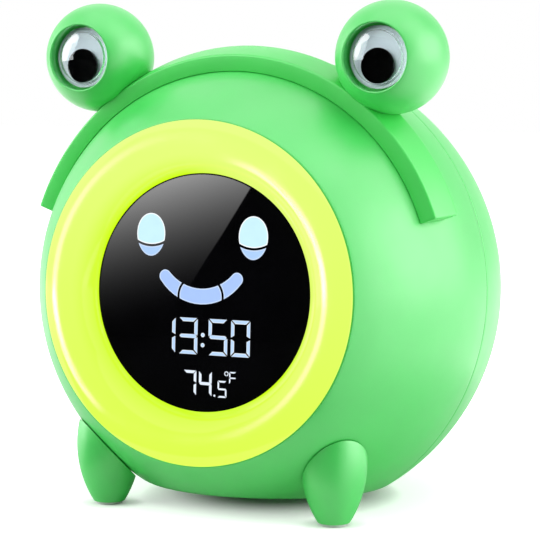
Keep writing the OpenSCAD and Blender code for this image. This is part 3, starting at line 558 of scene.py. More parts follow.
class Pattern(Tree):
    """A Geometry Nodes tree with named inputs, which ends in one finish."""

    def __init__(self, name: str, inputs: dict[str, Socket]) -> None:
        """Starts the tree and its named inputs."""
        super().__init__(bpy.data.node_groups.new(name, "GeometryNodeTree"))
        self.sockets = {}
        for label, kind in {**inputs, "Finish": Socket.FINISH}.items():
            item = self.tree.interface.new_socket(label, in_out="INPUT", socket_type=kind.value)
            self.sockets[label] = item.identifier
        shape = {"in_out": "OUTPUT", "socket_type": "NodeSocketGeometry"}
        self.tree.interface.new_socket("Geometry", **shape)
        self.given = self.node("NodeGroupInput").outputs

    def join(self, *parts: NodeSocket) -> NodeSocket:
        """Joins several geometries."""
        node = self.node("GeometryNodeJoinGeometry")
        for part in parts:
            self.give(node.inputs[0], part)
        return node.outputs[0]

    def repeated(self, piece: NodeSocket, points: Any, **inputs: Any) -> NodeSocket:
        """Puts one geometry on every point."""
        inputs |= {"Points": points, "Instance": piece}
        return self.node("GeometryNodeInstanceOnPoints", **inputs).outputs[0]

    def end(self, geometry: NodeSocket) -> None:
        """Realizes the instances and sets the finish."""
        real = self.node("GeometryNodeRealizeInstances", Geometry=geometry).outputs[0]
        done = self.node("GeometryNodeSetMaterial", Geometry=real, Material=self.given["Finish"])
        self.node("NodeGroupOutput", _0=done.outputs[0])

    def run(self, name: str, finish: Material, **values: Any) -> Solid:
        """Draws the pattern once.

        Args:
            name: The mesh's name.
            finish: The material that the tree sets.
            values: A value for each named input, with _ for a space.

        Returns:
            The plain mesh, with no modifier left.
        """
        item = placed(name, bpy.data.meshes.new(name))
        modifier = item.modifiers.new(name, "NODES")
        modifier.node_group = self.tree
        for key, value in {**values, "Finish": finish}.items():
            modifier[self.sockets[key.replace("_", " ")]] = value
        mesh = evaluated(item, name)
        discard(item)
        return Solid.of(name, mesh)


# ---------------------------------------------------------------- finishes


@dataclass(frozen=True)
class Recipe:
    """A finish: its material's name, and how its tree is drawn."""

    name: str

    def build(self, ball: Ball) -> Material:
        """Makes the material; the ball gives the frames that some finishes follow."""
        return self.draw(Shader(self.name), ball)

    def draw(self, shader: Shader, ball: Ball) -> Material:
        """Draws the material in an empty tree."""
        raise NotImplementedError


@dataclass(frozen=True)
class Moulded(Recipe):
    """Moulded plastic: a fine spark-eroded grain, a slight drift in colour and uneven gloss."""

    colour: Colour
    rough: float = 0.4
    drift: float = 0.04
    grain: float = 0.35
    depth: float = 0.004
    shine: float = 0.5
    coat: float = 0.0
    coat_rough: float = 0.2

    def draw(self, shader: Shader, ball: Ball) -> Material:
        """Draws the material."""
        return shader.surface(
            Base_Color=shader.cloudy(22, 3, self.colour, 1 - self.drift, 1 + self.drift),
            Roughness=shader.uneven(7, 3, self.rough - 0.04, self.rough + 0.04),
            Normal=shader.bump(shader.noise(self.grain, 2), self.depth),
            Specular_IOR_Level=self.shine,
            Coat_Weight=self.coat,
            Coat_Roughness=self.coat_rough,
        )


@dataclass(frozen=True)
class RingLight(Recipe):
    """Glossy diffuser lit from inside; its glow holds painted light, paler at the top, and painted
    shade, deeper near the display away from the upper right.
    """

    top: Colour
    bottom: Colour
    edge: Colour
    albedo: Colour
    strength: float
    # where the painted shade lies: its radii near the display, its side and its spread round the
    # ring
    painted_shade_from: float = 29.4
    painted_shade_to: float = 34.5
    painted_shade_side: tuple[float, float] = (-0.87, -0.5)
    painted_shade_ends: tuple[float, float] = (-0.85, -0.35)

    def draw(self, shader: Shader, ball: Ball) -> Material:
        """Draws the material in the ring's own frame."""
        local = shader.seen_from(ball.facing)
        height = shader.node("ShaderNodeSeparateXYZ", Vector=local).outputs["Y"]
        flat = shader.vectors("MULTIPLY", local, (1, 1, 0)).outputs[0]
        radius = shader.vectors("LENGTH", flat).outputs["Value"]
        # painted light: the glow is paler towards the top, where light falls from above
        up = shader.span(height, 0, 1, -ball.ring_radius * MM, ball.ring_radius * MM)
        face = shader.mix(up, self.bottom, self.top)
        # painted shade: near the display the glow turns deeper, except on the upper right, where
        # light falls
        near = shader.span(radius, 1, 0, self.painted_shade_from * MM, self.painted_shade_to * MM)
        toward_shaded_side = shader.vectors("DOT_PRODUCT", flat, (*self.painted_shade_side, 0)).outputs["Value"]
        turned = shader.span(shader.maths("DIVIDE", toward_shaded_side, radius), 0, 1, *self.painted_shade_ends)
        painted_shade = shader.maths("MULTIPLY", shader.maths("POWER", near, 1.6), turned)
        return shader.surface(
            Base_Color=self.albedo,
            Roughness=shader.uneven(6, 2, 0.1, 0.16),
            Normal=shader.bump(shader.noise(9, 2), 0.01),
            Emission_Color=shader.mix(painted_shade, face, self.edge),
            Emission_Strength=self.strength,
        )


@dataclass(frozen=True)
class Lit(Recipe):
    """Milky plate lit from behind, a little brighter in some places."""

    colour: Colour
    strength: float

    def draw(self, shader: Shader, ball: Ball) -> Material:
        """Draws the material."""
        return shader.surface(
            Base_Color=(0.03, 0.032, 0.034),
            Roughness=0.4,
            Specular_IOR_Level=0.0,
            Emission_Color=shader.cloudy(3, 2, self.colour, 0.98, 1.02),
            Emission_Strength=self.strength,
        )


@dataclass(frozen=True)
class GlossBlack(Recipe):
    """Polished black sheet with a faint waviness."""

    colour: Colour
    rough: float

    def draw(self, shader: Shader, ball: Ball) -> Material:
        """Draws the material."""
        return shader.surface(
            Base_Color=shader.cloudy(12, 2, self.colour, 1, 1.5),
            Roughness=shader.uneven(5, 3, self.rough, self.rough * 1.6),
            Normal=shader.bump(shader.noise(14, 1), 0.002),
        )


@dataclass(frozen=True)
class ClearPlastic(Recipe):
    """Clear moulded cover with faint flow lines round its middle."""

    colour: Colour
    ior: float = 1.49

    def draw(self, shader: Shader, ball: Ball) -> Material:
        """Draws the material."""
        return shader.surface(
            Base_Color=shader.cloudy(6, 1, self.colour, 1, 0.96),
            Roughness=shader.uneven(4, 2, 0.0, 0.03),
            Normal=shader.bump(shader.noise(2.5, 2), 0.006),
            Transmission_Weight=1.0,
            IOR=self.ior,
        )


@dataclass(frozen=True)
class Metal(Recipe):
    """Plated steel with fine drawn lines."""

    colour: Colour
    rough: float = 0.3

    def draw(self, shader: Shader, ball: Ball) -> Material:
        """Draws the material."""
        stretch = shader.node("ShaderNodeMapping", Vector=shader.place, Scale=(1, 1, 9))
        lines = shader.noise(0.8, 3, stretch.outputs["Vector"])
        tone = shader.mix(shader.span(lines, 0, 1), scaled(self.colour, 0.85), self.colour)
        return shader.surface(
            Base_Color=tone,
            Roughness=shader.span(lines, self.rough - 0.08, self.rough + 0.1),
            Metallic=1.0,
            Normal=shader.bump(lines, 0.003),
        )


@dataclass(frozen=True)
class CircuitBoard(Recipe):
    """Green solder resist over tracks, with tinned pads."""

    resist: Colour
    pad: Colour

    def draw(self, shader: Shader, ball: Ball) -> Material:
        """Draws the material."""
        grid = {"distance": "MANHATTAN", "feature": "F1"}
        sizes = {"Scale": 260.0, "Randomness": 0.75}
        cells = shader.node("ShaderNodeTexVoronoi", grid, Vector=shader.place, **sizes)
        tracks = shader.span(cells.outputs["Distance"], 0, 1, 0.42, 0.5)
        holes = shader.span(cells.outputs["Distance"], 1, 0, 0.1, 0.13)
        tone = shader.mix(tracks, self.resist, scaled(self.resist, 1.7))
        colour = shader.mix(holes, tone, self.pad)
        rough = shader.uneven(3, 2, 0.25, 0.4)
        normal = shader.bump(tracks, 0.03)
        return shader.surface(Base_Color=colour, Roughness=rough, Metallic=holes, Normal=normal)


@dataclass(frozen=True)
class Rubber(Recipe):
    """Soft matt rubber or wire sleeve with a dusty grain."""

    colour: Colour
    rough: float = 0.75

    def draw(self, shader: Shader, ball: Ball) -> Material:
        """Draws the material."""
        dust = shader.span(shader.noise(1.2, 4), 0, 1)
        tone = shader.mix(dust, self.colour, tuple(part * 0.9 + 0.02 for part in self.colour))
        rough = shader.uneven(2, 2, self.rough - 0.08, self.rough + 0.08)
        return shader.surface(Base_Color=tone, Roughness=rough, Normal=shader.bump(dust, 0.02))


@dataclass(frozen=True)
class ConePaper(Recipe):
    """Pressed speaker paper with rings round its middle."""

    colour: Colour

    def draw(self, shader: Shader, ball: Ball) -> Material:
        """Draws the material in the speaker's own frame."""
        local = shader.seen_from(ball.backward)
        rings = {"wave_type": "RINGS", "rings_direction": "Z"}
        waves = shader.node("ShaderNodeTexWave", rings, Vector=local, Scale=180.0, Distortion=0.0)
        fibre = shader.noise(0.5, 4)
        tone = shader.mix(shader.span(fibre, 0, 1), self.colour, scaled(self.colour, 1.8))
        folds = shader.bump(waves.outputs["Fac"], 0.15, shader.bump(fibre, 0.03))
        rough = shader.span(fibre, 0.8, 0.95)
        return shader.surface(Base_Color=tone, Roughness=rough, Normal=folds)


class Finish(Enum):
    """The finishes of the whole clock; a value is the recipe."""

    SHELL = Moulded("shell_green", (0.05, 0.65, 0.10), 0.42, shine=1.0, coat=0.5, coat_rough=0.35)
    BAND = Moulded("bright_green", (0.045, 0.7, 0.09), 0.42, shine=0.8, coat=0.35, coat_rough=0.35)
    BUTTON = Moulded("button_green", (0.04, 0.5, 0.08), 0.25, coat=0.3)
    RING = RingLight(
        "ring_diffuser",
        # top is paler with painted light from above; edge is the deeper colour of the painted shade
        # near the display
        top=paint("E6FF80"),
        bottom=paint("DEFF4B"),
        edge=(0.62, 1.0, 0.0),
        albedo=(0.06, 0.08, 0.01),
        strength=0.98,
    )
    BLACK_SHEET = GlossBlack("black_gloss", (0.0015, 0.0015, 0.002), 0.006)
    EYE_UPPER = Lit("icon_eye_upper", paint("CDF5FF"), 1.0)
    EYE_LOWER = Lit("icon_eye_lower", paint("AFD2FF"), 1.0)
    OUTLINE = Lit("icon_outline", paint("F4FAFF"), 1.1)
    SOFT_OUTLINE = Lit("icon_soft_outline", paint("CDE1FF"), 1.0)
    MOUTH = Lit("icon_mouth", paint("AAC8FF"), 1.0)
    TIME = Lit("icon_time", paint("BEDCFF"), 1.0)
    TEMPERATURE = Lit("icon_temperature", paint("E8F2FF"), 1.0)
    MILKY = Moulded("milky_plastic", (0.75, 0.78, 0.8), 0.35)
    WHITE = Moulded("white_plastic", (0.72, 0.72, 0.7), 0.45)
    BOARD = CircuitBoard("circuit_board", (0.01, 0.12, 0.045), (0.75, 0.72, 0.6))
    LAMP = Moulded("led_package", (0.85, 0.78, 0.32), 0.3)
    BLACK = Moulded("black_plastic", (0.018, 0.018, 0.02), 0.45)
    EYE_WHITE = Moulded("eye_white", (0.78, 0.85, 0.89), 0.35)
    PUPIL = GlossBlack("pupil_black", (0.001, 0.001, 0.001), 0.06)
    DOME = ClearPlastic("clear_dome", (0.9, 0.955, 0.985))
    PAD = Rubber("pad_rubber", (0.78, 0.8, 0.78), 0.6)
    REAR_PAD = Rubber("rear_pad_rubber", (0.05, 0.05, 0.05))
    STEEL = Metal("plated_steel", (0.62, 0.63, 0.65))
    MAGNET = Metal("magnet_plating", (0.22, 0.22, 0.23), 0.35)
    CONE = ConePaper("speaker_paper", (0.02, 0.02, 0.02))
    CELL = Moulded("cell_sleeve", (0.02, 0.09, 0.42), 0.2, grain=2.5, depth=0.03)
    RED_WIRE = Rubber("red_wire", (0.55, 0.02, 0.015), 0.45)
    BLACK_WIRE = Rubber("black_wire", (0.015, 0.015, 0.015), 0.45)
    GREY_WIRE = Rubber("grey_wire", (0.3, 0.3, 0.32), 0.45)


# ---------------------------------------------------------------- bench


class Bench:
    """Makes each finish once, and puts finished pieces on their bodies."""

    def __init__(self, frame: dict[str, Any], ball: Ball) -> None:
        """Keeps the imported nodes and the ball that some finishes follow."""
        self.nodes = frame["nodes"]
        self.ball = ball
        self.made: dict[Finish, Material] = {}

    def finish(self, which: Finish) -> Material:
        """The material of a finish, made the first time it is asked for."""
        if which not in self.made:
            self.made[which] = which.value.build(self.ball)
        return self.made[which]

    def add(
        self,
        solid: Solid,
        frame: Matrix,
        finishes: Sequence[Finish],
        slot: str,
        replaced: Sequence[str] = (),
        body: str = "root",
        sharp: float = 35.0,
    ) -> Object:
        """Puts a solid in its frame, dresses it and rides it on its body.

        Args:
            solid: The mesh, in millimetres in its own frame.
            frame: Where that frame stands.
            finishes: One finish for each material index.
            slot: The record's material slot; not used.
            replaced: CAD nodes that the piece stands for.
            body: The CAD body that carries it.
            sharp: Edges turned by more degrees than this stay sharp.

        Returns:
            The finished piece.
        """
        solid.cleaned()
        mesh = solid.mesh
        mesh.transform(frame @ Matrix.Diagonal((MM, MM, MM, 1)))
        indices = [face.material_index for face in mesh.polygons]
        mesh.materials.clear()
        for which in finishes:
            mesh.materials.append(self.finish(which))
        mesh.polygons.foreach_set("material_index", [min(i, len(finishes) - 1) for i in indices])
        mesh.shade_smooth()
        mesh.set_sharp_from_angle(angle=math.radians(sharp))
        mesh.name = f"{solid.name}_finished"
        piece = placed(mesh.name, mesh)
        if replaced:
            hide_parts(*replaced)
        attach(piece, body)
        LOG.info("%s: %d faces on %s", solid.name, len(mesh.polygons), body)
        return piece

    def dress(self, which: Finish, *nodes: str) -> None:
        """Gives CAD nodes that keep their shape a finish."""
        for name in nodes:
            for slot in self.nodes[name].material_slots:
                slot.material = self.finish(which)
            LOG.info("%s: dressed in %s", name, which.name)


@dataclass
class Part:
    """Something that is built on the bench, round the ball."""

    bench: Bench

    @property
    def ball(self) -> Ball:
        """The housing's ball."""
        return self.bench.ball


# ---------------------------------------------------------------- housing


@dataclass
class Housing(Part):
    """The two shells: turned skins with a flat base, bosses inside and holes cut through."""

    leg: Leg
    edge: float = 0.25
    blend: float = 1.4
    steps: int = 288
    boss_circle: float = 48.4
    boss_angles: tuple[float, ...] = (38, 142, 211, 329)
    front_boss: float = 3.5
    rear_boss: float = 4.3
    front_end: float = 50.0
    rear_end: float = 60.0
    face_gap: float = 0.55
    seam_gap: float = 0.1
    bore: float = 1.4
    pilot: float = 1.33
    case_pilot: Point = (-1.6, 7.4)
    small_pilot: float = 1.03
    head_bore: float = 2.9
    head_seat: float = 8.0
    seam_middle: float = -0.6
    tab_half: float = 6.0
    tab_inner: float = 56.6
    tab_outer: tuple[tuple[float, ...], ...] = ((57.6, -3.0, -0.4), (58.5, -0.4001, 2.6))
    frame_boss_at: float = 43.2
    frame_boss: float = 3.0
    frame_back: float = 31.0
    frame_pilot: Point = (30.0, 36.5)
    frame_plate: float = 2.2
    standoff: float = 6.0
    board_thick: float = 1.6
    band_middle: float = 20.15
    eye_angle: float = 35.1
    eye_boss: float = 3.6
    eye_seat: float = 2.2
    eye_bore: Point = (40.0, 70.0)
    peg_angle: float = 62.0
    peg_hole: float = 1.6
    peg_depth: float = 4.5
    peg_end: float = 62.0
    leg_boss: float = 4.0
    leg_bore: Point = (0.0, 40.0)
    button_circle: float = 22.0
    button_step: float = 30.0
    button_hole: float = 3.9
    post: float = 2.6
    post_at: float = 24.4
    post_angles: tuple[float, ...] = (0, 180, 248, 292)
    post_pilot: float = 6.0
    board_height: float = 6.7
    collar: tuple[float, float, float] = (14.2, 15.5, 4.0)
    knob_at: Point = (-16, -16)
    knob_slot: Point = (6.8, 3.2)
    socket_at: Point = (0, -22)
    socket_slot: Point = (9.2, 3.5)
    vent: float = 0.7
    vent_step: float = 2.4
    vent_at: Point = (16, -16)
    pad: float = 4.1
    pad_sunk: float = 0.8
    pad_at: Point = (14, 21)

    @property
    def band_reach(self) -> float:
        """Distance of the wall's inner face from the axis, under the headband's middle."""
        return math.sqrt(self.ball.inner**2 - self.band_middle**2)

    @property
    def board_face(self) -> float:
        """Height of the button board's inner face, where its screws seat."""
        return self.ball.panel - self.ball.wall - self.board_height

    def section(self, seam: float, end: float, closed: bool) -> list[Point]:
        """Half section of one shell, anticlockwise from its seam.

        Args:
            seam: Height of its parting face.
            end: Height of its far plane.
            closed: Whether a panel closes the far plane.

        Returns:
            Radius and height of each corner.
        """
        ball, edge = self.ball, self.edge
        mid = ball.radius - edge
        low = (math.sqrt(mid**2 - (seam + edge) ** 2), seam + edge)
        high = (math.sqrt(mid**2 - (end - edge) ** 2), end - edge)
        first, last = (math.atan2(c[1], c[0]) for c in (low, high))
        section = arc(low, edge, -math.pi / 2, first, 3)
        section += arc((0, 0), ball.radius, first, last, 60)[1:-1]
        section += arc(high, edge, last, math.pi / 2, 3)
        top = end
        if closed:
            top -= ball.wall
            section += [(r, end) for r in (20, 10, 0)] + [(r, top) for r in (0, 10, 20)]
        turns = (math.asin(z / ball.inner) for z in (top, seam))
        return section + arc((0, 0), ball.inner, *turns, 40)

    def flattened(self, solid: Solid) -> Solid:
        """Gives a turned skin its flat base."""

        def rule(point: Vector) -> Sequence[float]:
            depth = max(self.ball.radius - point.length, 0)
            if point.y > -self.ball.drop + depth + self.blend:
                return point
            return (point.x, soft_max(point.y, depth - self.ball.drop, self.blend), point.z)

        return solid.shaped(rule)

    def core(self, end: float, low: float) -> Solid:
        """The space inside a shell, up to the middle of its wall."""
        radius = self.ball.radius - self.ball.wall / 2
        start, stop = math.asin(low / radius), math.asin(end / radius)
        section = arc((0, 0), radius, start, stop, 48) + [(0, end), (0, low)]
        base = self.ball.wall / 2 - self.ball.drop
        return Solid.lathe("core", section, 144).shaped(lambda p: (p.x, max(p.y, base), p.z))

    def boss_places(self) -> list[Point]:
        """Where the case screws stand."""
        return [on_circle(self.boss_circle, a) for a in self.boss_angles]

    def frame_places(self) -> list[Point]:
        """Where the inner frame's screws stand."""
        at = self.frame_boss_at
        return [(at, 0), (0, at), (-at, 0), (0, -at)]

    def post_places(self) -> list[Point]:
        """Where the button board's screws stand."""
        return [on_circle(self.post_at, a) for a in self.post_angles]

    def under_band(self, sign: int, angle: float) -> Matrix:
        """Frame that runs out of the ball through the headband's middle, on one side."""
        return self.ball.towards(sign * angle, self.band_middle)

    def tabs(self) -> list[Solid]:
        """The eight tabs that line up the shells."""
        made = []
        for middle in range(-50, 231, 40):
            turns = [middle - self.tab_half + self.tab_half / 3 * i for i in range(7)]
            for reach, low, high in self.tab_outer:
                outline = [on_circle(reach, a) for a in turns]
                outline += [on_circle(self.tab_inner, a) for a in reversed(turns)]
                made.append(Solid.prism(outline, low, high))
        return made

    def front(self) -> Object:
        """The front shell."""
        ball, reach, end = self.ball, self.band_reach, self.front_end
        section = self.section(ball.seam_front, ball.face, False)
        skin = self.flattened(Solid.lathe("front_shell", section, self.steps))
        cases, frames = self.boss_places(), self.frame_places()
        bosses = [Solid.rod(self.front_boss, self.seam_middle, end, p) for p in cases]
        bosses += [Solid.rod(self.frame_boss, self.frame_back, end, p) for p in frames]
        holes = [Solid.rod(self.pilot, *self.case_pilot, p) for p in cases]
        holes += [Solid.rod(self.small_pilot, *self.frame_pilot, p) for p in frames]
        for sign in (-1, 1):
            eye = relative(self.under_band(sign, self.eye_angle), ball.facing)
            peg = relative(self.under_band(sign, self.peg_angle), ball.facing)
            leg = relative(self.leg.frame(sign, ball), ball.facing)
            eye_boss = Solid.rod(self.eye_boss, reach - self.eye_seat, self.eye_bore[1])
            bosses.append(eye_boss.moved(eye))
            bosses.append(Solid.rod(self.leg_boss, 0, self.leg.screw_seat(ball)).moved(leg))
            holes.append(Solid.rod(self.bore, *self.eye_bore).moved(eye))
            holes.append(Solid.rod(self.peg_hole, reach - self.peg_depth, self.peg_end).moved(peg))
            holes.append(Solid.rod(self.bore, *self.leg_bore).moved(leg))
        limit = self.core(ball.face - self.face_gap, self.seam_middle + self.seam_gap)
        inside = bosses[0].joined(bosses[1:]).cut(limit, "INTERSECT")
        for part in (inside, *self.tabs()):
            skin.cut(part, "UNION")
        skin.cut(holes[0].joined(holes[1:]))
        return self.bench.add(skin, ball.facing, [Finish.SHELL], "shell_green", ["front_shell"])

    def hole(self, radius: float, at: Point, low: float = 40.0, flare: float = 0.25) -> Solid:
        """A cutter for a round hole in the rear panel, flared at its mouth."""
        top = self.ball.panel
        section = [(0, low), (radius, low), (radius, top - flare)]
        section += [(radius + 2 * flare, top + flare), (0, top + flare)]
        return Solid.lathe("hole", section, 40).moved(Matrix.Translation((*at, 0)))

    def window(self, size: Point, at: Point, radius: float) -> Solid:
        """A cutter for a slot with rounded corners in the rear panel."""
        x, y = size[0] / 2 - radius, size[1] / 2 - radius
        outline: list[Point] = []
        for i, (across, up) in enumerate(((x, y), (-x, y), (-x, -y), (x, -y))):
            start = math.radians(90 * i)
            outline += arc((at[0] + across, at[1] + up), radius, start, start + math.pi / 2, 8)
        outline = [p for p, q in zip(outline, outline[1:] + outline[:1]) if math.dist(p, q) > 1e-4]
        return Solid.prism(outline, self.ball.panel - self.ball.wall - 1, self.ball.panel + 1)

    def rear(self) -> Object:
        """The rear shell, with its control panel."""
        ball, end = self.ball, self.rear_end
        section = self.section(ball.seam_rear, ball.panel, True)
        skin = self.flattened(Solid.lathe("rear_shell", section, self.steps))
        inner = ball.panel - ball.wall
        board, through = self.board_face, inner - 1
        cases, posts = self.boss_places(), self.post_places()
        bosses = [Solid.rod(self.rear_boss, -self.seam_middle, end, p) for p in cases]
        bosses += [Solid.rod(self.post, board + self.board_thick, end, p) for p in posts]
        inside, outside, height = self.collar
        low = inner - height
        collar = [(inside, low), (outside, low), (outside, end), (inside, end)]
        bosses.append(Solid.lathe("collar", collar, 96))
        for boss in bosses[1:]:
            bosses[0].cut(boss, "UNION")
        limit = self.core(ball.panel - ball.wall / 2, ball.seam_rear)
        skin.cut(bosses[0].cut(limit, "INTERSECT"), "UNION")
        holes = []
        for place in cases:
            holes.append(Solid.rod(self.bore, self.seam_gap, self.head_seat + 0.5, place))
            holes.append(Solid.rod(self.head_bore, self.head_seat, end, place))
        for i in range(5):
            at = on_circle(self.button_circle, 90 + (2 - i) * self.button_step)
            holes.append(self.hole(self.button_hole, at, through))
        holes += [Solid.rod(self.small_pilot, board, board + self.post_pilot, p) for p in posts]
        vents = [(self.vent_at[0] + s * self.vent_step, self.vent_at[1]) for s in (-1, 0, 1)]
        holes += [self.hole(self.vent, at, through, 0.15) for at in vents]
        holes.append(self.window(self.knob_slot, self.knob_at, 0.3))
        holes.append(self.window(self.socket_slot, self.socket_at, self.socket_slot[1] / 2))
        holes.append(Perforation(self.bench).draw(ball.panel))
        for sign in (-1, 1):
            recess = Solid.rod(self.pad, -ball.drop - 1, -ball.drop + self.pad_sunk)
            shift = Matrix.Translation((sign * self.pad_at[0], 0, self.pad_at[1]))
            holes.append(recess.moved(shift @ Matrix.Rotation(-math.pi / 2, 4, "X")))
        for tool in holes:
            skin.cut(tool)
        return self.bench.add(skin, ball.backward, [Finish.SHELL], "shell_green", ["rear_shell"])


@dataclass
class Perforation(Part):
    """The speaker's grille: rings of small round holes, each ring with six more than the last."""

    radius: float = 1.0
    pitch: float = 3.8
    length: float = 6.0
    rings: int = 2

    def draw(self, panel: float) -> Solid:
        """Draws the pins that cut the holes."""
        names = ("Hole Radius", "Ring Pitch", "Pin Length")
        pattern = Pattern("grille_pins", dict.fromkeys(names, Socket.LENGTH))
        radius, pitch, length = (pattern.given[name] for name in names)
        pin = pattern.node("GeometryNodeMeshCylinder", Vertices=20, Radius=radius, Depth=length)
        spots = [pattern.node("GeometryNodeMeshLine", Count=1).outputs[0]]
        for ring in range(1, self.rings + 1):
            reach = pattern.maths("MULTIPLY", pitch, ring)
            circle = pattern.node("GeometryNodeMeshCircle", Vertices=6 * ring, Radius=reach)
            spots.append(circle.outputs[0])
        pattern.end(pattern.repeated(pin.outputs["Mesh"], pattern.join(*spots)))
        finish = self.bench.finish(Finish.SHELL)
        values = {"Hole_Radius": self.radius, "Ring_Pitch": self.pitch, "Pin_Length": self.length}
        return pattern.run("grille_pins", finish, **values).moved(Matrix.Translation((0, 0, panel)))


# ---------------------------------------------------------------- sweeps


class Sweep:
    """A section carried along an arc, or right round: the ring and the headband."""

    def __init__(self) -> None:
        """Builds the tree."""
        sizes = {
            "Path Radius": Socket.LENGTH,
            "Start Angle": Socket.LENGTH,
            "Sweep Angle": Socket.LENGTH,
            "Steps": Socket.COUNT,
            "Whole Turn": Socket.CHOICE,
            "Section": Socket.PIECE,
        }
        self.pattern = Pattern("sweep", sizes)
        node, given = self.pattern.node, self.pattern.given
        round_path = {"Resolution": given["Steps"], "Radius": given["Path Radius"]}
        turns = {"Start_Angle": given["Start Angle"], "Sweep_Angle": given["Sweep Angle"]}
        part = node("GeometryNodeCurveArc", **round_path, **turns).outputs["Curve"]
        whole = node("GeometryNodeCurvePrimitiveCircle", **round_path).outputs["Curve"]
        either = {"Switch": given["Whole Turn"], "True": whole, "False": part}
        path = node("GeometryNodeSwitch", {"input_type": "GEOMETRY"}, **either).outputs[0]
        section = node("GeometryNodeObjectInfo", Object=given["Section"]).outputs["Geometry"]
        curves = {"Curve": path, "Profile_Curve": section}
        swept = node("GeometryNodeCurveToMesh", Fill_Caps=True, **curves)
        self.pattern.end(swept.outputs["Mesh"])

    def draw(
        self,
        name: str,
        section: Sequence[Point],
        path: Point,
        finish: Material,
        steps: int,
        start: float = 0.0,
        sweep: float = 0.0,
    ) -> Solid:
        """Carries a section round the z axis.

        Args:
            name: The mesh's name.
            section: Radius and height of each corner, anticlockwise.
            path: Radius and height of the path.
            finish: The material that the tree sets.
            steps: Points along the path.
            start: The path's start, in degrees.
            sweep: The path's turn in degrees, or 0 for a whole turn.

        Returns:
            The swept solid.
        """
        curve = bpy.data.curves.new("section", "CURVE")
        spline = curve.splines.new("POLY")
        spline.points.add(len(section) - 1)
        for point, (radius, height) in zip(spline.points, reversed(section)):
            point.co = (radius - path[0], path[1] - height, 0, 1)
        spline.use_cyclic_u = True
        item = placed("section", curve)
        solid = self.pattern.run(
            name,
            finish,
            Path_Radius=path[0],
            Start_Angle=math.radians(start),
            Sweep_Angle=math.radians(sweep),
            Steps=steps,
            Whole_Turn=sweep == 0,
            Section=item,
        )
        discard(item)
        return solid.moved(Matrix.Translation((0, 0, path[1])))


@dataclass
class LightRing(Part):
    """The night light: a turned diffuser with a bulging face, two skirts and six hooks."""

    sweep: Sweep
    display: float = 29.4
    recess: float = 4.1
    bulge: float = 3.5
    wall: float = 2.0
    skirt_wall: float = 1.4
    skirt: float = 39.203
    inner_skirt: float = 30.3
    depth: float = 7.1
    rim: float = 0.14
    path: float = 37.65
    hook_drop: float = 2.8
    hook_height: float = 1.2

    @property
    def ends(self) -> tuple[Vector, Vector]:
        """Radius and height of the face's outer and inner edge."""
        outside = Vector((self.ball.ring_radius, self.ball.face + 0.1))
        return outside, Vector((self.display, self.ball.face - self.recess))

    @property
    def circle(self) -> tuple[Vector, float]:
        """Centre and radius of the bulging face's section."""
        edge, inside = self.ends
        chord = edge - inside
        radius = ((chord.length / 2) ** 2 + self.bulge**2) / (2 * self.bulge)
        out = Vector((-chord.y, chord.x)).normalized()
        return (edge + inside) / 2 - out * (radius - self.bulge), radius

    def section(self) -> list[Point]:
        """Half section of the ring, anticlockwise from the outer rim."""
        edge, inside = self.ends
        centre, radius = self.circle
        hollow = radius - self.wall
        rim = self.rim
        # the outer rim's rounding lies between the seat's plane and the bulge
        height = edge.y + rim
        mid = radius - rim
        rim_c = (centre.x + math.sqrt(mid**2 - (height - centre.y) ** 2), height)
        rim_turn = math.atan2(rim_c[1] - centre.y, rim_c[0] - centre.x)
        lip_x = inside.x + rim
        lip_c = (lip_x, centre.y + math.sqrt(mid**2 - (lip_x - centre.x) ** 2))
        lip_turn = math.atan2(lip_c[1] - centre.y, lip_c[0] - centre.x)
        low = self.ball.face - self.depth
        outer_wall = self.skirt - self.skirt_wall
        inner_wall = self.inner_skirt + self.skirt_wall
        under = [math.asin((r - centre.x) / hollow) for r in (inner_wall, outer_wall)]
        tilts = spread(*under, 16)
        roof = [(centre.x + hollow * math.sin(a), centre.y + hollow * math.cos(a)) for a in tilts]
        section = arc(rim_c, rim, -math.pi / 2, rim_turn, 4)
        section += arc(tuple(centre), radius, rim_turn, lip_turn, 48)[1:-1]
        section += arc(lip_c, rim, lip_turn, math.pi, 4)
        section += [(inside.x, inside.y), (self.inner_skirt, inside.y)]
        section += [(self.inner_skirt, low), (inner_wall, low)] + roof
        section += [(outer_wall, low), (self.skirt, low), (self.skirt, edge.y)]
        return section

    def build(self) -> Object:
        """Makes the ring and its snap hooks."""
        ball, finish = self.ball, self.bench.finish(Finish.RING)
        ring = self.sweep.draw("light_ring", self.section(), (self.path, ball.face), finish, 360)
        low = ball.face - self.hook_drop
        corners = ((-0.2, 2.5), (0.9, 2.5), (1.3, 2.1))
        hook = [(self.skirt + out, -half) for out, half in corners]
        hook += [(self.skirt + out, half) for out, half in reversed(corners)]
        for i in range(6):
            turn = Matrix.Rotation(math.radians(15 + 60 * i), 4, "Z")
            ring.cut(Solid.prism(hook, low, low + self.hook_height).moved(turn), "UNION")
        return self.bench.add(ring, ball.facing, [Finish.RING], "ring_diffuser", ["light_ring"])


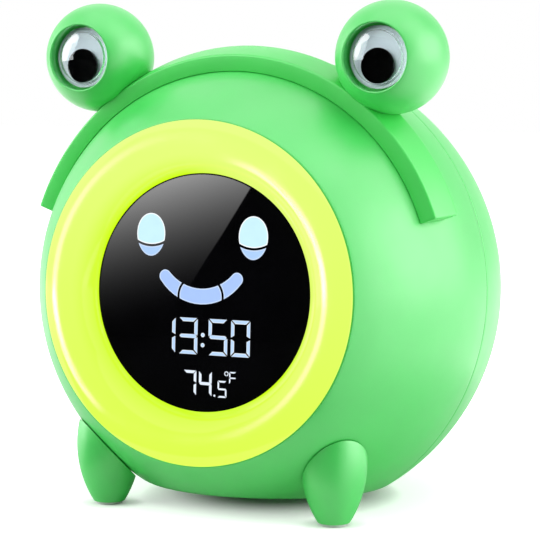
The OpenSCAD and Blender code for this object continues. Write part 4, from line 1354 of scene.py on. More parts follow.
@dataclass
class Headband(Part):
    """The band over the top: a rounded section carried along an arc, with a peg near each end."""

    sweep: Sweep
    housing: Housing
    thickness: float = 3.9
    gap: float = 0.1
    front: float = 24.5
    rear: float = 15.8
    end: float = 19.5
    round: float = 0.7
    end_round: float = 0.35
    peg: float = 1.5
    peg_depth: float = 4.0
    bore_ends: Point = (40.0, 80.0)
    room: float = 0.1
    notch_inside: float = 50.0

    @property
    def outer(self) -> float:
        """Radius of the outer face."""
        return self.ball.radius + self.gap + self.thickness

    def section(self) -> list[Point]:
        """Half section, anticlockwise: it follows the ball inside and out."""
        inner, outer = self.ball.radius + self.gap, self.outer
        low, high = self.rear + self.round, self.front - self.round
        middles = [(math.sqrt((outer - self.round) ** 2 - f**2), f) for f in (low, high)]
        turns = [math.asin(f / (outer - self.round)) for f in (low, high)]
        ends = [math.asin(f / inner) for f in (self.front, self.rear)]
        section = arc(middles[0], self.round, -math.pi / 2, turns[0], 6)
        section += arc((0, 0), outer, *turns, 10)[1:-1]
        section += arc(middles[1], self.round, turns[1], math.pi / 2, 6)
        return section + arc((0, 0), inner, *ends, 10)

    def build(self) -> Object:
        """Makes the band, its pegs and the eye screws' holes."""
        finish = self.bench.finish(Finish.BAND)
        house, inner = self.housing, self.ball.radius + self.gap
        path = (inner + self.thickness / 2, house.band_middle)
        turns = {"start": self.end, "sweep": 180 - 2 * self.end}
        band = self.sweep.draw("headband", self.section(), path, finish, 220, **turns)
        band.softened(self.end_round, 50)
        low = house.band_reach - self.peg_depth
        high = math.sqrt(inner**2 - house.band_middle**2) + self.thickness / 2
        for sign in (-1, 1):
            peg = relative(house.under_band(sign, house.peg_angle), self.ball.facing)
            eye = relative(house.under_band(sign, house.eye_angle), self.ball.facing)
            band.cut(Solid.rod(self.peg, low, high).moved(peg), "UNION")
            band.cut(Solid.rod(house.bore, *self.bore_ends).moved(eye))
        return self.bench.add(
            band, self.ball.facing, [Finish.BAND], "bright_green", ["headband"], sharp=40
        )

    def notch(self) -> Solid:
        """The room that an eyeball leaves for the band."""
        reach, inside = self.outer + self.room, self.notch_inside
        low, high = self.rear - self.room, self.front + self.room
        turns = [math.asin(f / reach) for f in (low, high)]
        section = [(inside, low)] + arc((0, 0), reach, *turns, 10) + [(inside, high)]
        return Solid.lathe("notch", section, 288)


# ---------------------------------------------------------------- eyes


@dataclass
class Eye(Part):
    """One wiggle eye: a hollow ball with a socket, a white disc, a loose pupil and a cover."""

    housing: Housing
    headband: Headband
    sign: int
    centre: Vector
    radius: float = 14.0
    wall: float = 2.0
    socket: float = 8.3
    rim: float = 0.3
    flange_front: float = 8.7
    wiggle: float = 7.65
    cup: float = 6.45
    pupil: float = 4.3
    pupil_height: float = 0.8
    pupil_lift: float = 0.15
    pupil_room: float = 0.1
    dome_height: float = 2.4
    dome_wall: float = 0.5
    white_height: float = 0.8
    seat_height: float = 1.5
    film: float = 0.05
    boss: float = 3.4
    boss_start: float = 40.0
    boss_end: float = 7.0
    pilot_end: float = 6.0
    headroom: float = 0.35
    fillet: float = 0.3
    dome_edge: float = 0.12
    white_edge: float = 0.15
    white_dish: Point = (0.5, 0.06)
    pupil_edge: float = 0.2
    pupil_dish: Point = (0.7, 0.05)

    @property
    def side(self) -> str:
        """left or right, as someone who looks at the clock sees it."""
        return "left" if self.sign < 0 else "right"

    @property
    def frame(self) -> Matrix:
        """The eye's own frame: z looks level, straight ahead."""
        return Matrix.Translation(self.centre) @ Matrix.Rotation(math.pi / 2, 4, "X")

    @property
    def white_front(self) -> float:
        """Height of the clear cover's seat on the white disc, in the eye's frame."""
        return self.flange_front - self.dome_wall

    @property
    def seat(self) -> float:
        """Height of the seat under the white disc."""
        return self.white_front - self.white_height

    def eyeball(self) -> Object:
        """The hollow green ball."""
        lip = self.socket + self.rim
        height = math.sqrt((self.radius - self.rim) ** 2 - lip**2)
        turn = math.atan2(height, lip)
        section = arc((0, 0), self.radius, -math.pi / 2, turn, 90)[:-1]
        section[0] = (0, -self.radius)
        section += arc((lip, height), self.rim, turn, math.pi, 12)
        section += [(self.socket, self.seat + 0.1), (self.socket - 0.1, self.seat), (0, self.seat)]
        skin = Solid.lathe(f"{self.side}_eyeball", section, 144)
        hollow_radius = self.radius - self.wall
        top = self.seat - self.seat_height
        hollow = arc((0, 0), hollow_radius, -math.pi / 2, math.asin(top / hollow_radius), 40)
        hollow.append((0, top))
        hollow[0] = (0, -hollow_radius)
        skin.cut(Solid.lathe("hollow", hollow, 72))
        axis = relative(self.housing.under_band(self.sign, self.housing.eye_angle), self.frame)
        core = arc((0, 0), self.radius - 1, -math.pi / 2, math.pi / 2, 40)
        core[0], core[-1] = (0, 1 - self.radius), (0, self.radius - 1)
        reach = self.headband.outer
        boss = Solid.rod(self.boss, self.boss_start, reach + self.boss_end).moved(axis)
        skin.cut(boss.cut(Solid.lathe("core", core, 72), "INTERSECT"), "UNION")
        skin.cut(self.headband.notch().moved(relative(self.ball.facing, self.frame)))
        skin.cut(Solid.rod(self.housing.pilot, self.boss_start, reach + self.pilot_end).moved(axis))
        name = skin.name
        return self.bench.add(skin, self.frame, [Finish.SHELL], "bright_green", [name], sharp=40)

    def white(self) -> Object:
        """The white disc, a little dished, with a rounded edge."""
        high, (width, dish) = self.white_front - self.film, self.white_dish
        section = rounded_disc(self.wiggle, self.seat, high, self.white_edge, 3)
        section += [(self.cup, high), (self.cup - width, high - dish), (0, high - dish)]
        disc = Solid.lathe(f"{self.side}_eye_white", section, 96)
        return self.bench.add(disc, self.frame, [Finish.EYE_WHITE], "eye_white", [disc.name])

    def loose_pupil(self) -> Object:
        """The loose black disc, rounded at its edge."""
        low = self.white_front + self.pupil_lift
        high, (width, dish) = low + self.pupil_height, self.pupil_dish
        section = rounded_disc(self.pupil, low, high, self.pupil_edge, 4)
        section += [(self.pupil - width, high - dish), (0, high - dish)]
        name = f"{self.side}_pupil"
        low_down = Matrix.Translation((0, self.pupil + self.pupil_room - self.cup, 0))
        disc = Solid.lathe(name, section, 96).moved(low_down)
        return self.bench.add(disc, self.frame, [Finish.PUPIL], "pupil_black", [name], body=name)

    def dome(self) -> Object:
        """The clear cover: a flange, an upright wall and a shallow dome."""
        wall_top = self.pupil_lift + self.pupil_height + self.headroom
        outer = self.cup + self.dome_wall
        rise = self.dome_height + self.dome_wall - wall_top
        ball = (outer**2 + rise**2) / (2 * rise)
        middle = wall_top + rise - ball
        edge, fillet, flange = self.dome_edge, self.fillet, self.dome_wall
        turn = math.atan2(wall_top - middle, outer)
        inner = ball - self.dome_wall
        inner_turn = math.asin((wall_top - self.dome_wall / 2 - middle) / inner)
        section = [(self.cup, 0), (self.wiggle, 0)]
        section += arc((self.wiggle - edge, flange - edge), edge, 0, math.pi / 2, 4)
        section += arc((outer + fillet, flange + fillet), fillet, -math.pi / 2, -math.pi, 5)
        section += arc((0, middle), ball, turn, math.pi / 2, 24)
        section[-1] = (0, middle + ball)
        section += [(0, middle + inner)] + arc((0, middle), inner, math.pi / 2, inner_turn, 20)[1:]
        name = f"{self.side}_eye_dome"
        cover = Solid.lathe(name, section, 96).moved(Matrix.Translation((0, 0, self.white_front)))
        piece = self.bench.add(cover, self.frame, [Finish.DOME], "clear_dome", [name])
        piece.visible_shadow = False
        return piece

    def build(self) -> None:
        """Makes the eye's four pieces."""
        self.eyeball()
        self.white()
        self.loose_pupil()
        self.dome()


# ---------------------------------------------------------------- legs


@dataclass
class Legs(Part):
    """Two barrel-shaped legs whose tops follow the ball, and their pads."""

    leg: Leg
    steps: int = 96
    rows: int = 40
    saddle_rows: int = 12

    def radius_at(self, height: float) -> float:
        """The leg's radius at a height over the table."""
        leg = self.leg
        corner_z = leg.pad_height + leg.round
        centre_x = leg.radius - leg.curve
        barrel = centre_x + math.sqrt(leg.curve**2 - (height - leg.widest) ** 2)
        if height >= corner_z:
            return barrel
        corner_x = centre_x + math.sqrt((leg.curve - leg.round) ** 2 - (leg.widest - corner_z) ** 2)
        return min(corner_x + math.sqrt(max(leg.round**2 - (corner_z - height) ** 2, 0)), barrel)

    def roof(self, x: float, y: float, sign: int) -> float:
        """Height of the ball's underside over a point of the leg's frame."""
        leg, ball = self.leg, self.ball
        right, ahead = x + sign * leg.side, y - ball.leg_ahead
        reach = math.sqrt((ball.radius + leg.gap) ** 2 - right**2 - ahead**2)
        return ball.drop + ball.base_gap - reach

    def top(self, turn: float, sign: int) -> float:
        """Height at which the leg's side meets the ball, on one side of the leg."""
        height = self.leg.widest
        for _ in range(40):
            radius = self.radius_at(height)
            roof = self.roof(radius * math.cos(turn), radius * math.sin(turn), sign)
            height += 0.5 * (roof - height)
        return height

    def shape(self, sign: int, name: str) -> Solid:
        """The leg's closed mesh."""
        leg, steps = self.leg, self.steps
        turns = [2 * math.pi * i / steps for i in range(steps)]
        tops = [self.top(a, sign) for a in turns]
        points: list[Sequence[float]] = []
        rows: list[list[int]] = []

        def ring(spots: Sequence[Sequence[float]]) -> None:
            rows.append(list(range(len(points), len(points) + len(spots))))
            points.extend(spots)

        def level(radius: float, height: float) -> None:
            ring([(radius * math.cos(a), radius * math.sin(a), height) for a in turns])

        def spot(turn: float, height: float) -> Sequence[float]:
            radius = self.radius_at(height)
            return radius * math.cos(turn), radius * math.sin(turn), height

        recess = leg.pad + leg.pad_room
        level(recess, leg.pad_height + leg.pad_sunk)
        level(recess, leg.pad_height)
        level(self.radius_at(leg.pad_height + 0.001) - 0.02, leg.pad_height)
        for i in range(1, 8):
            height = leg.pad_height + leg.round * (1 - math.cos(math.pi / 2 * i / 8))
            ring([spot(a, height) for a in turns])
        first = leg.pad_height + leg.round * (1 - math.cos(math.pi / 2))
        for i in range(self.rows + 1):
            share = i / self.rows
            ring([spot(a, first + (high - first) * share) for a, high in zip(turns, tops)])
        rim = points[-steps:]
        for i in range(1, self.saddle_rows):
            share = 1 - i / self.saddle_rows
            ring([(x * share, y * share, self.roof(x * share, y * share, sign)) for x, y, _ in rim])
        faces = [face for pair in zip(rows, rows[1:]) for face in round_faces(*pair)]
        points.append((0, 0, self.roof(0, 0, sign)))
        points.append((0, 0, leg.pad_height + leg.pad_sunk))
        for i in range(steps):
            j = (i + 1) % steps
            faces.append([rows[-1][i], rows[-1][j], len(points) - 2])
            faces.append([rows[0][j], rows[0][i], len(points) - 1])
        solid = Solid(name, points, faces).softened(leg.top_round, 48)
        return solid.cut(Solid.rod(leg.pilot, leg.screw_seat(self.ball) - leg.pilot_depth, 40))

    def build(self) -> None:
        """Makes both legs and their pads."""
        leg = self.leg
        for sign, side in ((-1, "left"), (1, "right")):
            frame = leg.frame(sign, self.ball)
            name = f"{side}_leg"
            solid = self.shape(sign, name)
            self.bench.add(solid, frame, [Finish.SHELL], "shell_green", [name], sharp=40)
            high, edge = leg.pad_height + leg.pad_sunk - 0.01, 0.15
            section = [(0, 0), (leg.pad - edge, 0)]
            section += arc((leg.pad - edge, edge), edge, -math.pi / 2, 0, 4)[1:]
            section += [(leg.pad, high), (0, high)]
            pad = f"{side}_foot_pad"
            self.bench.add(Solid.lathe(pad, section, 64), frame, [Finish.PAD], "pad_rubber", [pad])


# ---------------------------------------------------------------- display


@dataclass
class Display(Part):
    """The lit plate behind the black sheet: its raised shapes get their own light and outlines."""

    recess: float = 4.1
    shift: float = -0.45
    cut_centre: float = 19.5
    cut_radius: float = 8.3
    eye_x: float = 14.2
    eye_mask: float = 0.12
    eye_outline: float = 0.26
    time_mask: float = 0.08
    time_outline: float = 0.12
    small_mask: float = 0.05
    eyes_over: float = 7.0
    mouth_over: float = -5.0
    time_over: float = -17.0
    weld: float = 0.002
    least_turn: float = 0.9
    front_depth: float = 0.05
    finishes: tuple[Finish, ...] = (
        Finish.MILKY,
        Finish.EYE_UPPER,
        Finish.EYE_LOWER,
        Finish.MOUTH,
        Finish.TIME,
        Finish.TEMPERATURE,
        Finish.OUTLINE,
        Finish.SOFT_OUTLINE,
        Finish.BLACK_SHEET,
    )

    def group(self, x: float, y: float) -> Finish:
        """Which finish a raised shape's face takes, by its place."""
        if y > self.eyes_over:
            eye = self.shift + math.copysign(self.eye_x, x)
            upper = math.hypot(x - eye, y - self.cut_centre) < self.cut_radius
            return Finish.EYE_UPPER if upper else Finish.EYE_LOWER
        if y > self.mouth_over:
            return Finish.MOUTH
        return Finish.TIME if y > self.time_over else Finish.TEMPERATURE

    def rims(self, group: Finish) -> list[tuple[float, Finish, bool]]:
        """Width and finish of each rim of a group's shapes, and whether corners keep the width."""
        black = Finish.BLACK_SHEET
        if group is Finish.TEMPERATURE:
            return [(self.small_mask, black, False)]
        if group is Finish.TIME:
            return [(self.time_mask, black, False), (self.time_outline, Finish.OUTLINE, False)]
        outline = Finish.OUTLINE if group is Finish.EYE_UPPER else Finish.SOFT_OUTLINE
        return [(self.eye_mask, black, True), (self.eye_outline, outline, True)]

    def build(self) -> Object:
        """Makes the plate from its solid, with a black mask and an outline round each shape."""
        source = self.bench.nodes["icon_diffuser"].data
        points, faces = [v.co for v in source.vertices], [p.vertices for p in source.polygons]
        solid = Solid("icon_diffuser", points, faces)
        back = self.ball.facing.inverted()
        solid.moved(Matrix.Diagonal((1 / MM, 1 / MM, 1 / MM, 1)) @ back)
        front = self.ball.face - self.recess - self.front_depth
        groups: dict[Finish, list[bmesh.types.BMFace]] = {}
        with edited(solid.mesh) as work:
            bmesh.ops.remove_doubles(work, verts=work.verts[:], dist=self.weld)
            work.normal_update()
            for face in work.faces:
                middle = face.calc_center_median()
                if face.normal.z > self.least_turn and middle.z > front:
                    group = self.group(middle.x, middle.y)
                    face.material_index = self.finishes.index(group)
                    groups.setdefault(group, []).append(face)
            for group, faces in groups.items():
                for width, finish, even in self.rims(group):
                    sizes = {"thickness": width, "use_even_offset": even, "use_boundary": True}
                    for face in bmesh.ops.inset_region(work, faces=faces, **sizes)["faces"]:
                        face.material_index = self.finishes.index(finish)
        return self.bench.add(
            solid, self.ball.facing, self.finishes, "icon_white", ["icon_diffuser"]
        )


# ---------------------------------------------------------------- fasteners


@dataclass(frozen=True)
class Screws:
    """One CAD node of equal screws: its sizes, and where each one seats."""

    node: str
    shank: float
    length: float
    head: float
    head_height: float
    places: Sequence[Matrix]


class ScrewMaker:
    """Draws threaded screws at their seats, from one tree."""

    def __init__(self) -> None:
        """Builds the tree."""
        sizes = {
            "Seats": Socket.PIECE,
            "Head": Socket.PIECE,
            "Shank Radius": Socket.LENGTH,
            "Core Radius": Socket.LENGTH,
            "Length": Socket.LENGTH,
            "Pitch": Socket.LENGTH,
            "Threads": Socket.COUNT,
        }
        self.pattern = Pattern("screws", sizes)
        node, given = self.pattern.node, self.pattern.given
        bar = {"Vertices": 16, "Radius": given["Core Radius"], "Depth": given["Length"]}
        core = node("GeometryNodeMeshCylinder", **bar).outputs["Mesh"]
        half = self.pattern.maths("MULTIPLY", given["Length"], -0.5)
        down = node("ShaderNodeCombineXYZ", Z=half).outputs[0]
        lowered = node("GeometryNodeTransform", Geometry=core, Translation=down).outputs[0]
        pitch = self.pattern.maths("MULTIPLY", given["Pitch"], -1.0)
        step = node("ShaderNodeCombineXYZ", Z=pitch).outputs[0]
        starts = {"Start_Location": step, "Offset": step}
        line = node("GeometryNodeMeshLine", Count=given["Threads"], **starts)
        ridge = node(
            "GeometryNodeMeshCone",
            Vertices=16,
            Radius_Top=given["Core Radius"],
            Radius_Bottom=given["Shank Radius"],
            Depth=given["Pitch"],
        )
        thread = self.pattern.repeated(ridge.outputs["Mesh"], line.outputs[0])
        head = node("GeometryNodeObjectInfo", Object=given["Head"]).outputs["Geometry"]
        whole = self.pattern.join(lowered, thread, head)
        turn = node("GeometryNodeInputNamedAttribute", {"data_type": "FLOAT_VECTOR"}, Name="turn")
        seats = node("GeometryNodeObjectInfo", Object=given["Seats"]).outputs["Geometry"]
        spin = node("FunctionNodeEulerToRotation", Euler=turn.outputs["Attribute"])
        self.pattern.end(self.pattern.repeated(whole, seats, Rotation=spin.outputs[0]))

    @staticmethod
    def head(screws: Screws) -> Solid:
        """A domed head with a cross recess."""
        high, edge = screws.head_height, screws.head_height * 0.35
        section = [(0, -0.05), (screws.head, -0.05), (screws.head, high - edge)]
        section.append((screws.head - 0.3 * edge, high - 0.4 * edge))
        section.append((screws.head - edge, high - 0.1 * edge))
        section += [(screws.head * 0.3, high), (0, high)]
        solid = Solid.lathe("head", section, 32)
        arm, width = screws.head * 0.55, screws.head * 0.13
        for turn in (0, math.pi / 2):
            outline = [(-arm, -width), (arm, -width), (arm, width), (-arm, width)]
            slot = Solid.prism(outline, high * 0.45, high + 1)
            solid.cut(slot.moved(Matrix.Rotation(turn, 4, "Z")))
        return solid

    def draw(self, screws: Screws, finish: Material) -> Solid:
        """Draws one node's screws in the clock's own frame, in millimetres."""
        seats = bpy.data.meshes.new("seats")
        seats.from_pydata([m.translation / MM for m in screws.places], [], [])
        turns = seats.attributes.new("turn", "FLOAT_VECTOR", "POINT")
        for item, place in zip(turns.data, screws.places):
            item.vector = tuple(place.to_euler("XYZ"))
        objects = [placed(m.name, m) for m in (seats, self.head(screws).mesh)]
        pitch = screws.shank * 0.55
        solid = self.pattern.run(
            screws.node,
            finish,
            Seats=objects[0],
            Head=objects[1],
            Shank_Radius=screws.shank,
            Core_Radius=screws.shank * 0.8,
            Length=screws.length,
            Pitch=pitch,
            Threads=int(screws.length / pitch) - 1,
        )
        discard(*objects)
        return solid


@dataclass
class Fasteners(Part):
    """Every screw in the clock."""

    leg: Leg
    housing: Housing
    main_half: Point = (26.0, 16.0)
    main_up: float = 3.0

    @staticmethod
    def seat(frame: Matrix, x: float, y: float, z: float, down: bool = False) -> Matrix:
        """A seat in a frame; down turns the head to face the frame's back."""
        turn = Matrix.Rotation(math.pi, 4, "X") if down else Matrix.Identity(4)
        return frame @ Matrix.Translation((x * MM, y * MM, z * MM)) @ turn

    def sets(self) -> list[Screws]:
        """The six groups of screws and their seats."""
        ball, house = self.ball, self.housing
        back = house.frame_back - house.frame_plate
        board = back - house.standoff - house.board_thick
        below = house.band_reach - house.eye_seat
        head = self.leg.screw_seat(ball)

        def inner(x: float, y: float, z: float) -> Matrix:
            return self.seat(ball.facing, x, y, z, True)

        case = [self.seat(ball.backward, x, y, house.head_seat) for x, y in house.boss_places()]
        frame = [inner(x, y, back) for x, y in house.frame_places()]
        (width, height), up = self.main_half, self.main_up
        main_board = [inner(x, y + up, board) for x in (width, -width) for y in (height, -height)]
        low, places = house.board_face, house.post_places()
        posts = [self.seat(ball.backward, x, y, low, True) for x, y in places]
        eyes = [self.seat(house.under_band(s, house.eye_angle), 0, 0, below, True) for s in (-1, 1)]
        legs = [self.seat(self.leg.frame(s, ball), 0, 0, head) for s in (-1, 1)]
        return [
            Screws("case_screws", 1.3, 14.0, 2.6, 1.8, case),
            Screws("frame_screws", 1.0, 6.7, 1.9, 1.3, frame),
            Screws("main_board_screws", 1.0, 5.6, 1.9, 1.3, main_board),
            Screws("button_board_screws", 1.0, 5.6, 1.9, 1.3, posts),
            Screws("eye_screws", 1.3, 14.0, 2.6, 1.8, eyes),
            Screws("leg_screws", 1.3, 12.0, 2.6, 1.8, legs),
        ]

    def build(self) -> None:
        """Makes each group as one piece."""
        maker = ScrewMaker()
        for screws in self.sets():
            solid = maker.draw(screws, self.bench.finish(Finish.STEEL))
            place, name = Matrix.Identity(4), screws.node
            self.bench.add(solid, place, [Finish.STEEL], "steel", [name], sharp=30)


# ---------------------------------------------------------------- studio


EYE_WHITES = ("left_eye_white_finished", "right_eye_white_finished")
EYE_DOMES = ("left_eye_dome_finished", "right_eye_dome_finished")


@dataclass(frozen=True)
class Softbox:
    """One area lamp: where it stands, its size, its face's light, and what alone it lights."""

    name: str
    azimuth: float
    elevation: float
    distance: float
    size: Point
    radiance: float
    only: tuple[str, ...] = ()


@dataclass(frozen=True)
class Ribbon:
    """A bright ribbon that the ring mirrors on its face, brighter by lean at its start."""

    name: str
    turn: Point
    slope: Point
    radiance: float
    power: float
    lean: float


@dataclass
class Studio:
    """World, floor, cloth, board, the display's card, the ring's ribbons, lamps and camera."""

    ball: Ball
    ring: LightRing
    lamps: tuple[Softbox, ...] = (
        Softbox("side_right", 105, 8, 1.5, (1.6, 1.4), 2.8),
        Softbox("low_right", 88, 2, 1.0, (0.9, 0.6), 0.7),
        Softbox("high_right", 90, 45, 1.5, (1.2, 1.2), 1.65),
        Softbox("front_left", -35, 35, 1.5, (1.0, 1.0), 3.4),
        Softbox("side_left", -75, 12, 1.5, (1.0, 1.2), 3.5),
        Softbox("behind_left", -160, 50, 1.5, (1.4, 1.4), 0.35),
        Softbox("overhead", 26, 82, 1.5, (1.4, 1.4), 1.15),
        Softbox("eye_fill", -20, 25, 1.5, (0.8, 0.8), 2.0, EYE_WHITES),
        Softbox("eye_glint", -72, 15, 1.5, (1.6, 1.3), 8.0, EYE_DOMES),
    )
    ribbons: tuple[Ribbon, ...] = (
        Ribbon("left_ribbon", (100, 232), (75.0, 88.0), 48.0, 0.5, 0.7),
        Ribbon("right_ribbon", (-84, 56), (96.5, 110.5), 7.2, 1.2, 0.0),
    )
    apart: tuple[str, ...] = ("light_ring_finished", *EYE_DOMES)
    target: Vector = field(default_factory=lambda: Vector((0, -0.004, 0.06)))
    camera_place: Vector = field(default_factory=lambda: Vector((0.252665, -0.518311, 0.112022)))
    azimuth: float = 26.19
    elevation: float = 5.28
    lens: float = 146.8
    world_light: float = 0.05
    floor_half: float = 3.0
    # painted shadow in the floor's glow: the reach of its ambient occlusion, and the rings round
    # the clock inside which the glow is dimmed
    painted_contact_reach: float = 0.005
    floor_glow: float = 0.35
    reflected_shadow_rings: tuple[float, float, float] = (0.05, 0.1, 0.5)
    seen_glow: float = 0.6
    painted_shadow_rings: tuple[float, float, float, float] = (0.014, 0.034, 0.04, 0.1)
    board_light: float = 2.05
    board_turn: tuple[float, float] = (62.0, 152.0)
    board_reach: tuple[float, float] = (0.12, 1.4)
    board_height: float = 0.0008
    card_reach: float = 29.05
    card_distance: float = 1.2
    card_edge: tuple[Point, Point] = ((12.49, 25.58), (-9.93, -8.51))
    card_bright: Point = (-25.0, 20.0)
    card_blur: float = 0.0008
    card_light: float = 8.1
    card_fade: tuple[float, float, float] = (-7.0, 31.0, 3.4)
    card_tilt: float = -0.3
    ribbon_distance: float = 1.6
    ribbon_low: float = 0.004
    cloth_start: float = 0.07
    cloth_distance: float = 1.8
    cloth_turn: tuple[float, float] = (-58.0, 46.0)
    cloth_height: float = 1.3
    cloth_thick: float = 0.0006

    @staticmethod
    def direction(azimuth: float, elevation: float) -> Vector:
        """Unit vector towards a place; azimuth 0 is in front and turns to the right."""
        a, e = math.radians(azimuth), math.radians(elevation)
        return Vector((math.sin(a) * math.cos(e), -math.cos(a) * math.cos(e), math.sin(e)))

    @staticmethod
    def linked(item: Object, names: Sequence[str], how: str = "INCLUDE") -> None:
        """Lets a lamp or a card shine on the named pieces alone, or on all but them."""
        group = bpy.data.collections.new(f"{item.name}_link")
        for name in names:
            group.objects.link(bpy.data.objects[name])
        for link in group.collection_objects:
            link.light_linking.link_state = how
        item.light_linking.receiver_collection = group

    def lights(self) -> None:
        """Stands the softboxes round the clock."""
        for box in self.lamps:
            data = bpy.data.lights.new(box.name, "AREA")
            data.shape = "RECTANGLE"
            data.size, data.size_y = box.size
            data.energy = box.radiance * math.pi * box.size[0] * box.size[1]
            lamp = placed(box.name, data)
            out = self.direction(box.azimuth, box.elevation)
            lamp.location = self.target + out * box.distance
            lamp.rotation_euler = out.to_track_quat("Z", "Y").to_euler()
            lamp.visible_camera = False
            self.linked(lamp, box.only or self.apart, "INCLUDE" if box.only else "EXCLUDE")
            LOG.info("%s: %.0f W", box.name, data.energy)

    def world(self) -> None:
        """White where it is seen or mirrored, dimmer where it lights."""
        world = bpy.data.worlds.new("studio")
        bpy.context.scene.world = world
        world.use_nodes = True
        tree = Tree(world.node_tree)
        seen = self.seen(tree, tree.node("ShaderNodeLightPath"))
        strength = tree.node("ShaderNodeMapRange", Value=seen, To_Min=self.world_light).outputs[0]
        back = tree.node("ShaderNodeBackground", Color=(1, 1, 1, 1), Strength=strength)
        tree.node("ShaderNodeOutputWorld", _0=back.outputs[0])

    @staticmethod
    def seen(tree: Tree, path: Node) -> NodeSocket:
        """1 for a camera, glossy or transmission ray, and 0 for any other."""
        direct = tree.maths("MAXIMUM", path.outputs["Is Camera Ray"], path.outputs["Is Glossy Ray"])
        return tree.maths("MAXIMUM", direct, path.outputs["Is Transmission Ray"])

    def fan(self, turn: Point, steps: int) -> list[Vector]:
        """Level directions, spread evenly between two azimuths."""
        return [self.direction(azimuth, 0) for azimuth in spread(*turn, steps)]

    @staticmethod
    def sheet(
        name: str, points: Sequence[Sequence[float]], faces: Sequence[Sequence[int]]
    ) -> Object:
        """A flat piece of the studio."""
        item = placed(name, Solid(name, points, faces).mesh)
        return item

    @staticmethod
    def mirrored_alone(item: Object) -> None:
        """Hides a piece of the studio from everything but reflections."""
        for kind in ("camera", "diffuse", "transmission", "shadow", "volume_scatter"):
            setattr(item, f"visible_{kind}", False)

    def floor(self) -> None:
        """A pale floor: its lamp-lit part keeps the clock's real shadow, and its glow carries a
        painted shadow round the clock and at contacts.
        """
        half = self.floor_half
        corners = [(-half, -half, 0), (half, -half, 0), (half, half, 0), (-half, half, 0)]
        floor = self.sheet("floor", corners, [(0, 1, 2, 3)])
        shader = Shader("studio_floor")
        cloud = shader.mix(shader.noise(300, 2), (0.8, 0.8, 0.8), (0.82, 0.82, 0.82))
        matt = shader.node("ShaderNodeBsdfDiffuse", Color=cloud)
        path = shader.node("ShaderNodeLightPath")
        seen = self.seen(shader, path)
        away = shader.vectors("LENGTH", shader.place).outputs["Value"]
        # painted shadow in reflections: the mirrored glow is dark near the clock and rises outwards
        dark, pale, far = self.reflected_shadow_rings
        mirrored = shader.maths(
            "ADD",
            shader.span(away, 0.0, self.floor_glow, dark, pale),
            shader.span(away, 0.0, 1 - self.floor_glow, pale, far),
        )
        # painted shadow: the glow that the camera sees is dark under the clock and rises outwards
        under, beside, near, open_floor = self.painted_shadow_rings
        first = shader.span(away, 0.0, self.seen_glow, under, beside)
        first.node.interpolation_type = "SMOOTHSTEP"
        second = shader.span(away, 0.0, 1 - self.seen_glow, near, open_floor)
        # painted contact shadow: ambient occlusion dims the glow where the clock stands close
        edges = shader.node("ShaderNodeAmbientOcclusion", {"samples": 16}, Distance=self.painted_contact_reach)
        direct = shader.maths("MULTIPLY", shader.maths("ADD", first, second), edges.outputs["AO"])
        camera = path.outputs["Is Camera Ray"]
        choice = {"_0": camera, "_2": mirrored, "_3": direct}
        level = shader.node("ShaderNodeMix", {"data_type": "FLOAT"}, **choice)
        strength = shader.maths("MULTIPLY", seen, level.outputs[0])
        glow = shader.node("ShaderNodeEmission", Strength=strength)
        both = shader.node("ShaderNodeAddShader", _0=matt.outputs[0], _1=glow.outputs[0])
        floor.data.materials.append(shader.end(both))

    def cloth(self) -> None:
        """Black cloth on the floor and upright in front, which only reflections show."""
        steps = 16
        lift = Vector((0, 0, self.cloth_thick))
        points: list[Vector] = []
        for out in self.fan(self.cloth_turn, steps):
            foot = out * self.cloth_distance
            near = out * self.cloth_start + self.target
            points += [Vector((near.x, near.y, lift.z)), foot + lift]
            points.append(foot + Vector((0, 0, self.cloth_height)))
        cloth = self.sheet("black_cloth", points, grid_faces(steps + 1, 3))
        self.mirrored_alone(cloth)
        cloth.visible_transmission = True
        shader = Shader("black_cloth")
        weave = shader.mix(shader.noise(4, 2), (0.002, 0.002, 0.002), (0.004, 0.004, 0.004))
        matt = shader.surface(Base_Color=weave, Roughness=1.0, Specular_IOR_Level=0.0)
        cloth.data.materials.append(matt)

    def board(self) -> None:
        """A bright board flat on the floor at the right, which only reflections show."""
        steps = 12
        lift = Vector((0, 0, self.board_height))
        rays = self.fan(self.board_turn, steps)
        points = [out * reach + lift for out in rays for reach in self.board_reach]
        board = self.sheet("bright_board", points, grid_faces(steps + 1, 2))
        self.mirrored_alone(board)
        self.linked(board, ("left_leg_finished", *self.apart), "EXCLUDE")
        board.data.materials.append(Shader("bright_board").glow(self.board_light))

    def card(self) -> None:
        """The card that the black display mirrors: bright at the upper left, black beside it."""
        facing = self.ball.facing
        depth = (self.ball.face - self.ring.recess) * MM
        plane = facing @ Vector((0, 0, depth))
        normal = (facing.to_3x3() @ Vector((0, 0, 1))).normalized()
        behind = self.camera_place - 2 * normal.dot(self.camera_place - plane) * normal
        out = (plane - behind).normalized()
        place = plane + out * self.card_distance

        def mirrored(x: float, y: float) -> Vector:
            ray = (facing @ Vector((x * MM, y * MM, depth)) - behind).normalized()
            return behind + ray * ((place - behind).dot(out) / ray.dot(out))

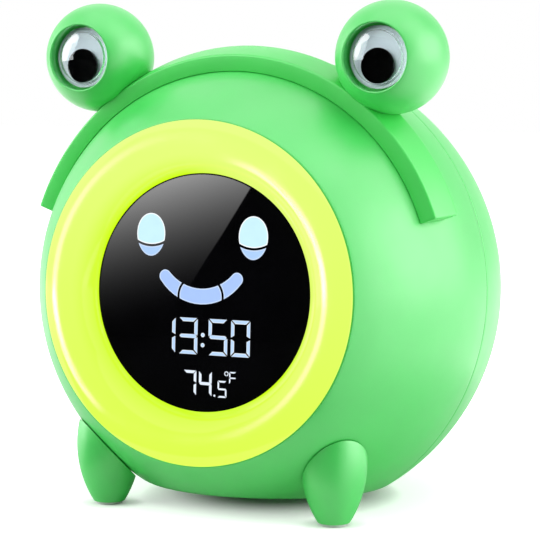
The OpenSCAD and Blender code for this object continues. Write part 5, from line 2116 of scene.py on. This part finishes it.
        top, bottom = (mirrored(*spot) for spot in self.card_edge)
        rim = arc((0, 0), self.card_reach, 0, 2 * math.pi, 96)[:-1]
        card = self.sheet("mirror_card", [mirrored(*spot) for spot in rim], [range(96)])
        self.mirrored_alone(card)
        self.linked(card, ("display_face", "icon_diffuser_finished"))
        shader = Shader("mirror_card")
        across = (top - bottom).normalized().cross(out).normalized()
        if (mirrored(*self.card_bright) - bottom).dot(across) < 0:
            across = -across
        side = shader.vectors("DOT_PRODUCT", shader.place, across).outputs["Value"]
        edge = across.dot(bottom)
        bright = shader.span(side, 0, 1, edge, edge + self.card_blur)
        start = mirrored(0, 0)
        step = 10.0
        step_x, step_y = mirrored(step, 0) - start, mirrored(0, step) - start
        slope_x, slope_y = step_y.cross(out), out.cross(step_x)
        slope = slope_x * (step * self.card_tilt / step_x.dot(slope_x))
        slope += slope_y * (step / step_y.dot(slope_y))
        height = shader.vectors("DOT_PRODUCT", shader.place, slope).outputs["Value"]
        low, high, power = self.card_fade
        fade = shader.span(height, 0, 1, slope.dot(start) + low, slope.dot(start) + high)
        light = shader.maths("MULTIPLY", bright, shader.maths("POWER", fade, power))
        card.data.materials.append(shader.glow(shader.maths("MULTIPLY", light, self.card_light)))

    def ribbon(self, ribbon: Ribbon) -> None:
        """A ribbon that stands where the ring mirrors it, softer at its ends and edges."""
        facing = self.ball.facing
        centre, radius = self.ring.circle
        steps, rows = 48, 6
        points: list[Vector] = []
        levels: list[float] = []
        for i, turn in enumerate(spread(*ribbon.turn, steps)):
            across = Vector((*on_circle(1, turn), 0))
            lean = 1 + ribbon.lean * (1 - 2 * i / steps)
            along = max(math.sin(math.pi * i / steps), 0) ** ribbon.power * lean
            for j, slope in enumerate(spread(*ribbon.slope, rows)):
                flat, up = on_circle(1, slope)
                out = across * flat + Vector((0, 0, up))
                spot = facing @ ((across * centre.x + Vector((0, 0, centre.y)) + out * radius) * MM)
                normal = (facing.to_3x3() @ out).normalized()
                ray = (spot - self.camera_place).normalized().reflect(normal)
                reach = min(self.ribbon_distance, (spot.z - self.ribbon_low) / max(-ray.z, 0.001))
                points.append(spot + ray * reach)
                levels.append(max(along * math.sin(math.pi * j / rows), 0))
        item = self.sheet(ribbon.name, points, grid_faces(steps + 1, rows + 1))
        item.data.attributes.new("glow", "FLOAT", "POINT").data.foreach_set("value", levels)
        self.mirrored_alone(item)
        self.linked(item, ("light_ring_finished",))
        shader = Shader(ribbon.name)
        level = shader.node("ShaderNodeAttribute", {"attribute_name": "glow"}).outputs["Fac"]
        item.data.materials.append(shader.glow(shader.maths("MULTIPLY", level, ribbon.radiance)))

    def camera(self) -> None:
        """Sets up the camera."""
        data = bpy.data.cameras.new("camera")
        data.lens = self.lens
        data.sensor_width = 36.0
        data.clip_start = 0.01
        camera = placed("camera", data)
        camera.location = self.camera_place
        out = self.direction(self.azimuth, self.elevation)
        camera.rotation_euler = out.to_track_quat("Z", "Y").to_euler()
        bpy.context.scene.camera = camera

    def build(self) -> None:
        """Sets up the studio."""
        bpy.context.scene.view_settings.view_transform = "Standard"
        self.world()
        self.floor()
        self.cloth()
        self.board()
        self.card()
        for ribbon in self.ribbons:
            self.ribbon(ribbon)
        self.lights()
        self.camera()


# ---------------------------------------------------------------- clock


INSIDE: dict[Finish, tuple[str, ...]] = {
    Finish.BLACK_SHEET: ("display_face",),
    Finish.BUTTON: ("light_button", "down_button", "mode_button", "up_button", "alarm_button"),
    Finish.WHITE: ("display_reflector", "inner_frame", "battery_cradle"),
    Finish.BOARD: ("display_board", "ring_board", "main_board", "button_board"),
    Finish.LAMP: ("display_leds", "ring_leds"),
    Finish.BLACK: ("board_components", "tact_switches", "power_knob", "temperature_sensor"),
    Finish.STEEL: ("slide_switch", "charge_socket", "speaker_basket"),
    Finish.CONE: ("speaker_cone",),
    Finish.MAGNET: ("speaker_magnet",),
    Finish.CELL: ("battery_cell",),
    Finish.REAR_PAD: ("rear_foot_pads",),
    Finish.RED_WIRE: ("battery_lead",),
    Finish.BLACK_WIRE: ("speaker_lead",),
    Finish.GREY_WIRE: ("button_ribbon",),
}


def main() -> None:
    """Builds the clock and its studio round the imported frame."""
    logging.basicConfig(level=logging.INFO, format="%(name)s: %(message)s")
    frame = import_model()
    ball, leg = Ball(), Leg()
    bench = Bench(frame, ball)
    housing = Housing(bench, leg)
    housing.front()
    housing.rear()
    sweep = Sweep()
    ring = LightRing(bench, sweep)
    ring.build()
    headband = Headband(bench, sweep, housing)
    headband.build()
    joints = {joint["name"]: joint for joint in frame["joints"]}
    for sign, side in ((-1, "left"), (1, "right")):
        centre = Vector(joints[f"{side}_pupil_roll"]["pos_m"])
        Eye(bench, housing, headband, sign, centre).build()
    Legs(bench, leg).build()
    Display(bench).build()
    Fasteners(bench, leg, housing).build()
    for which, nodes in INSIDE.items():
        bench.dress(which, *nodes)
    Studio(ball, ring).build()


if __name__ == "__main__":
    main()
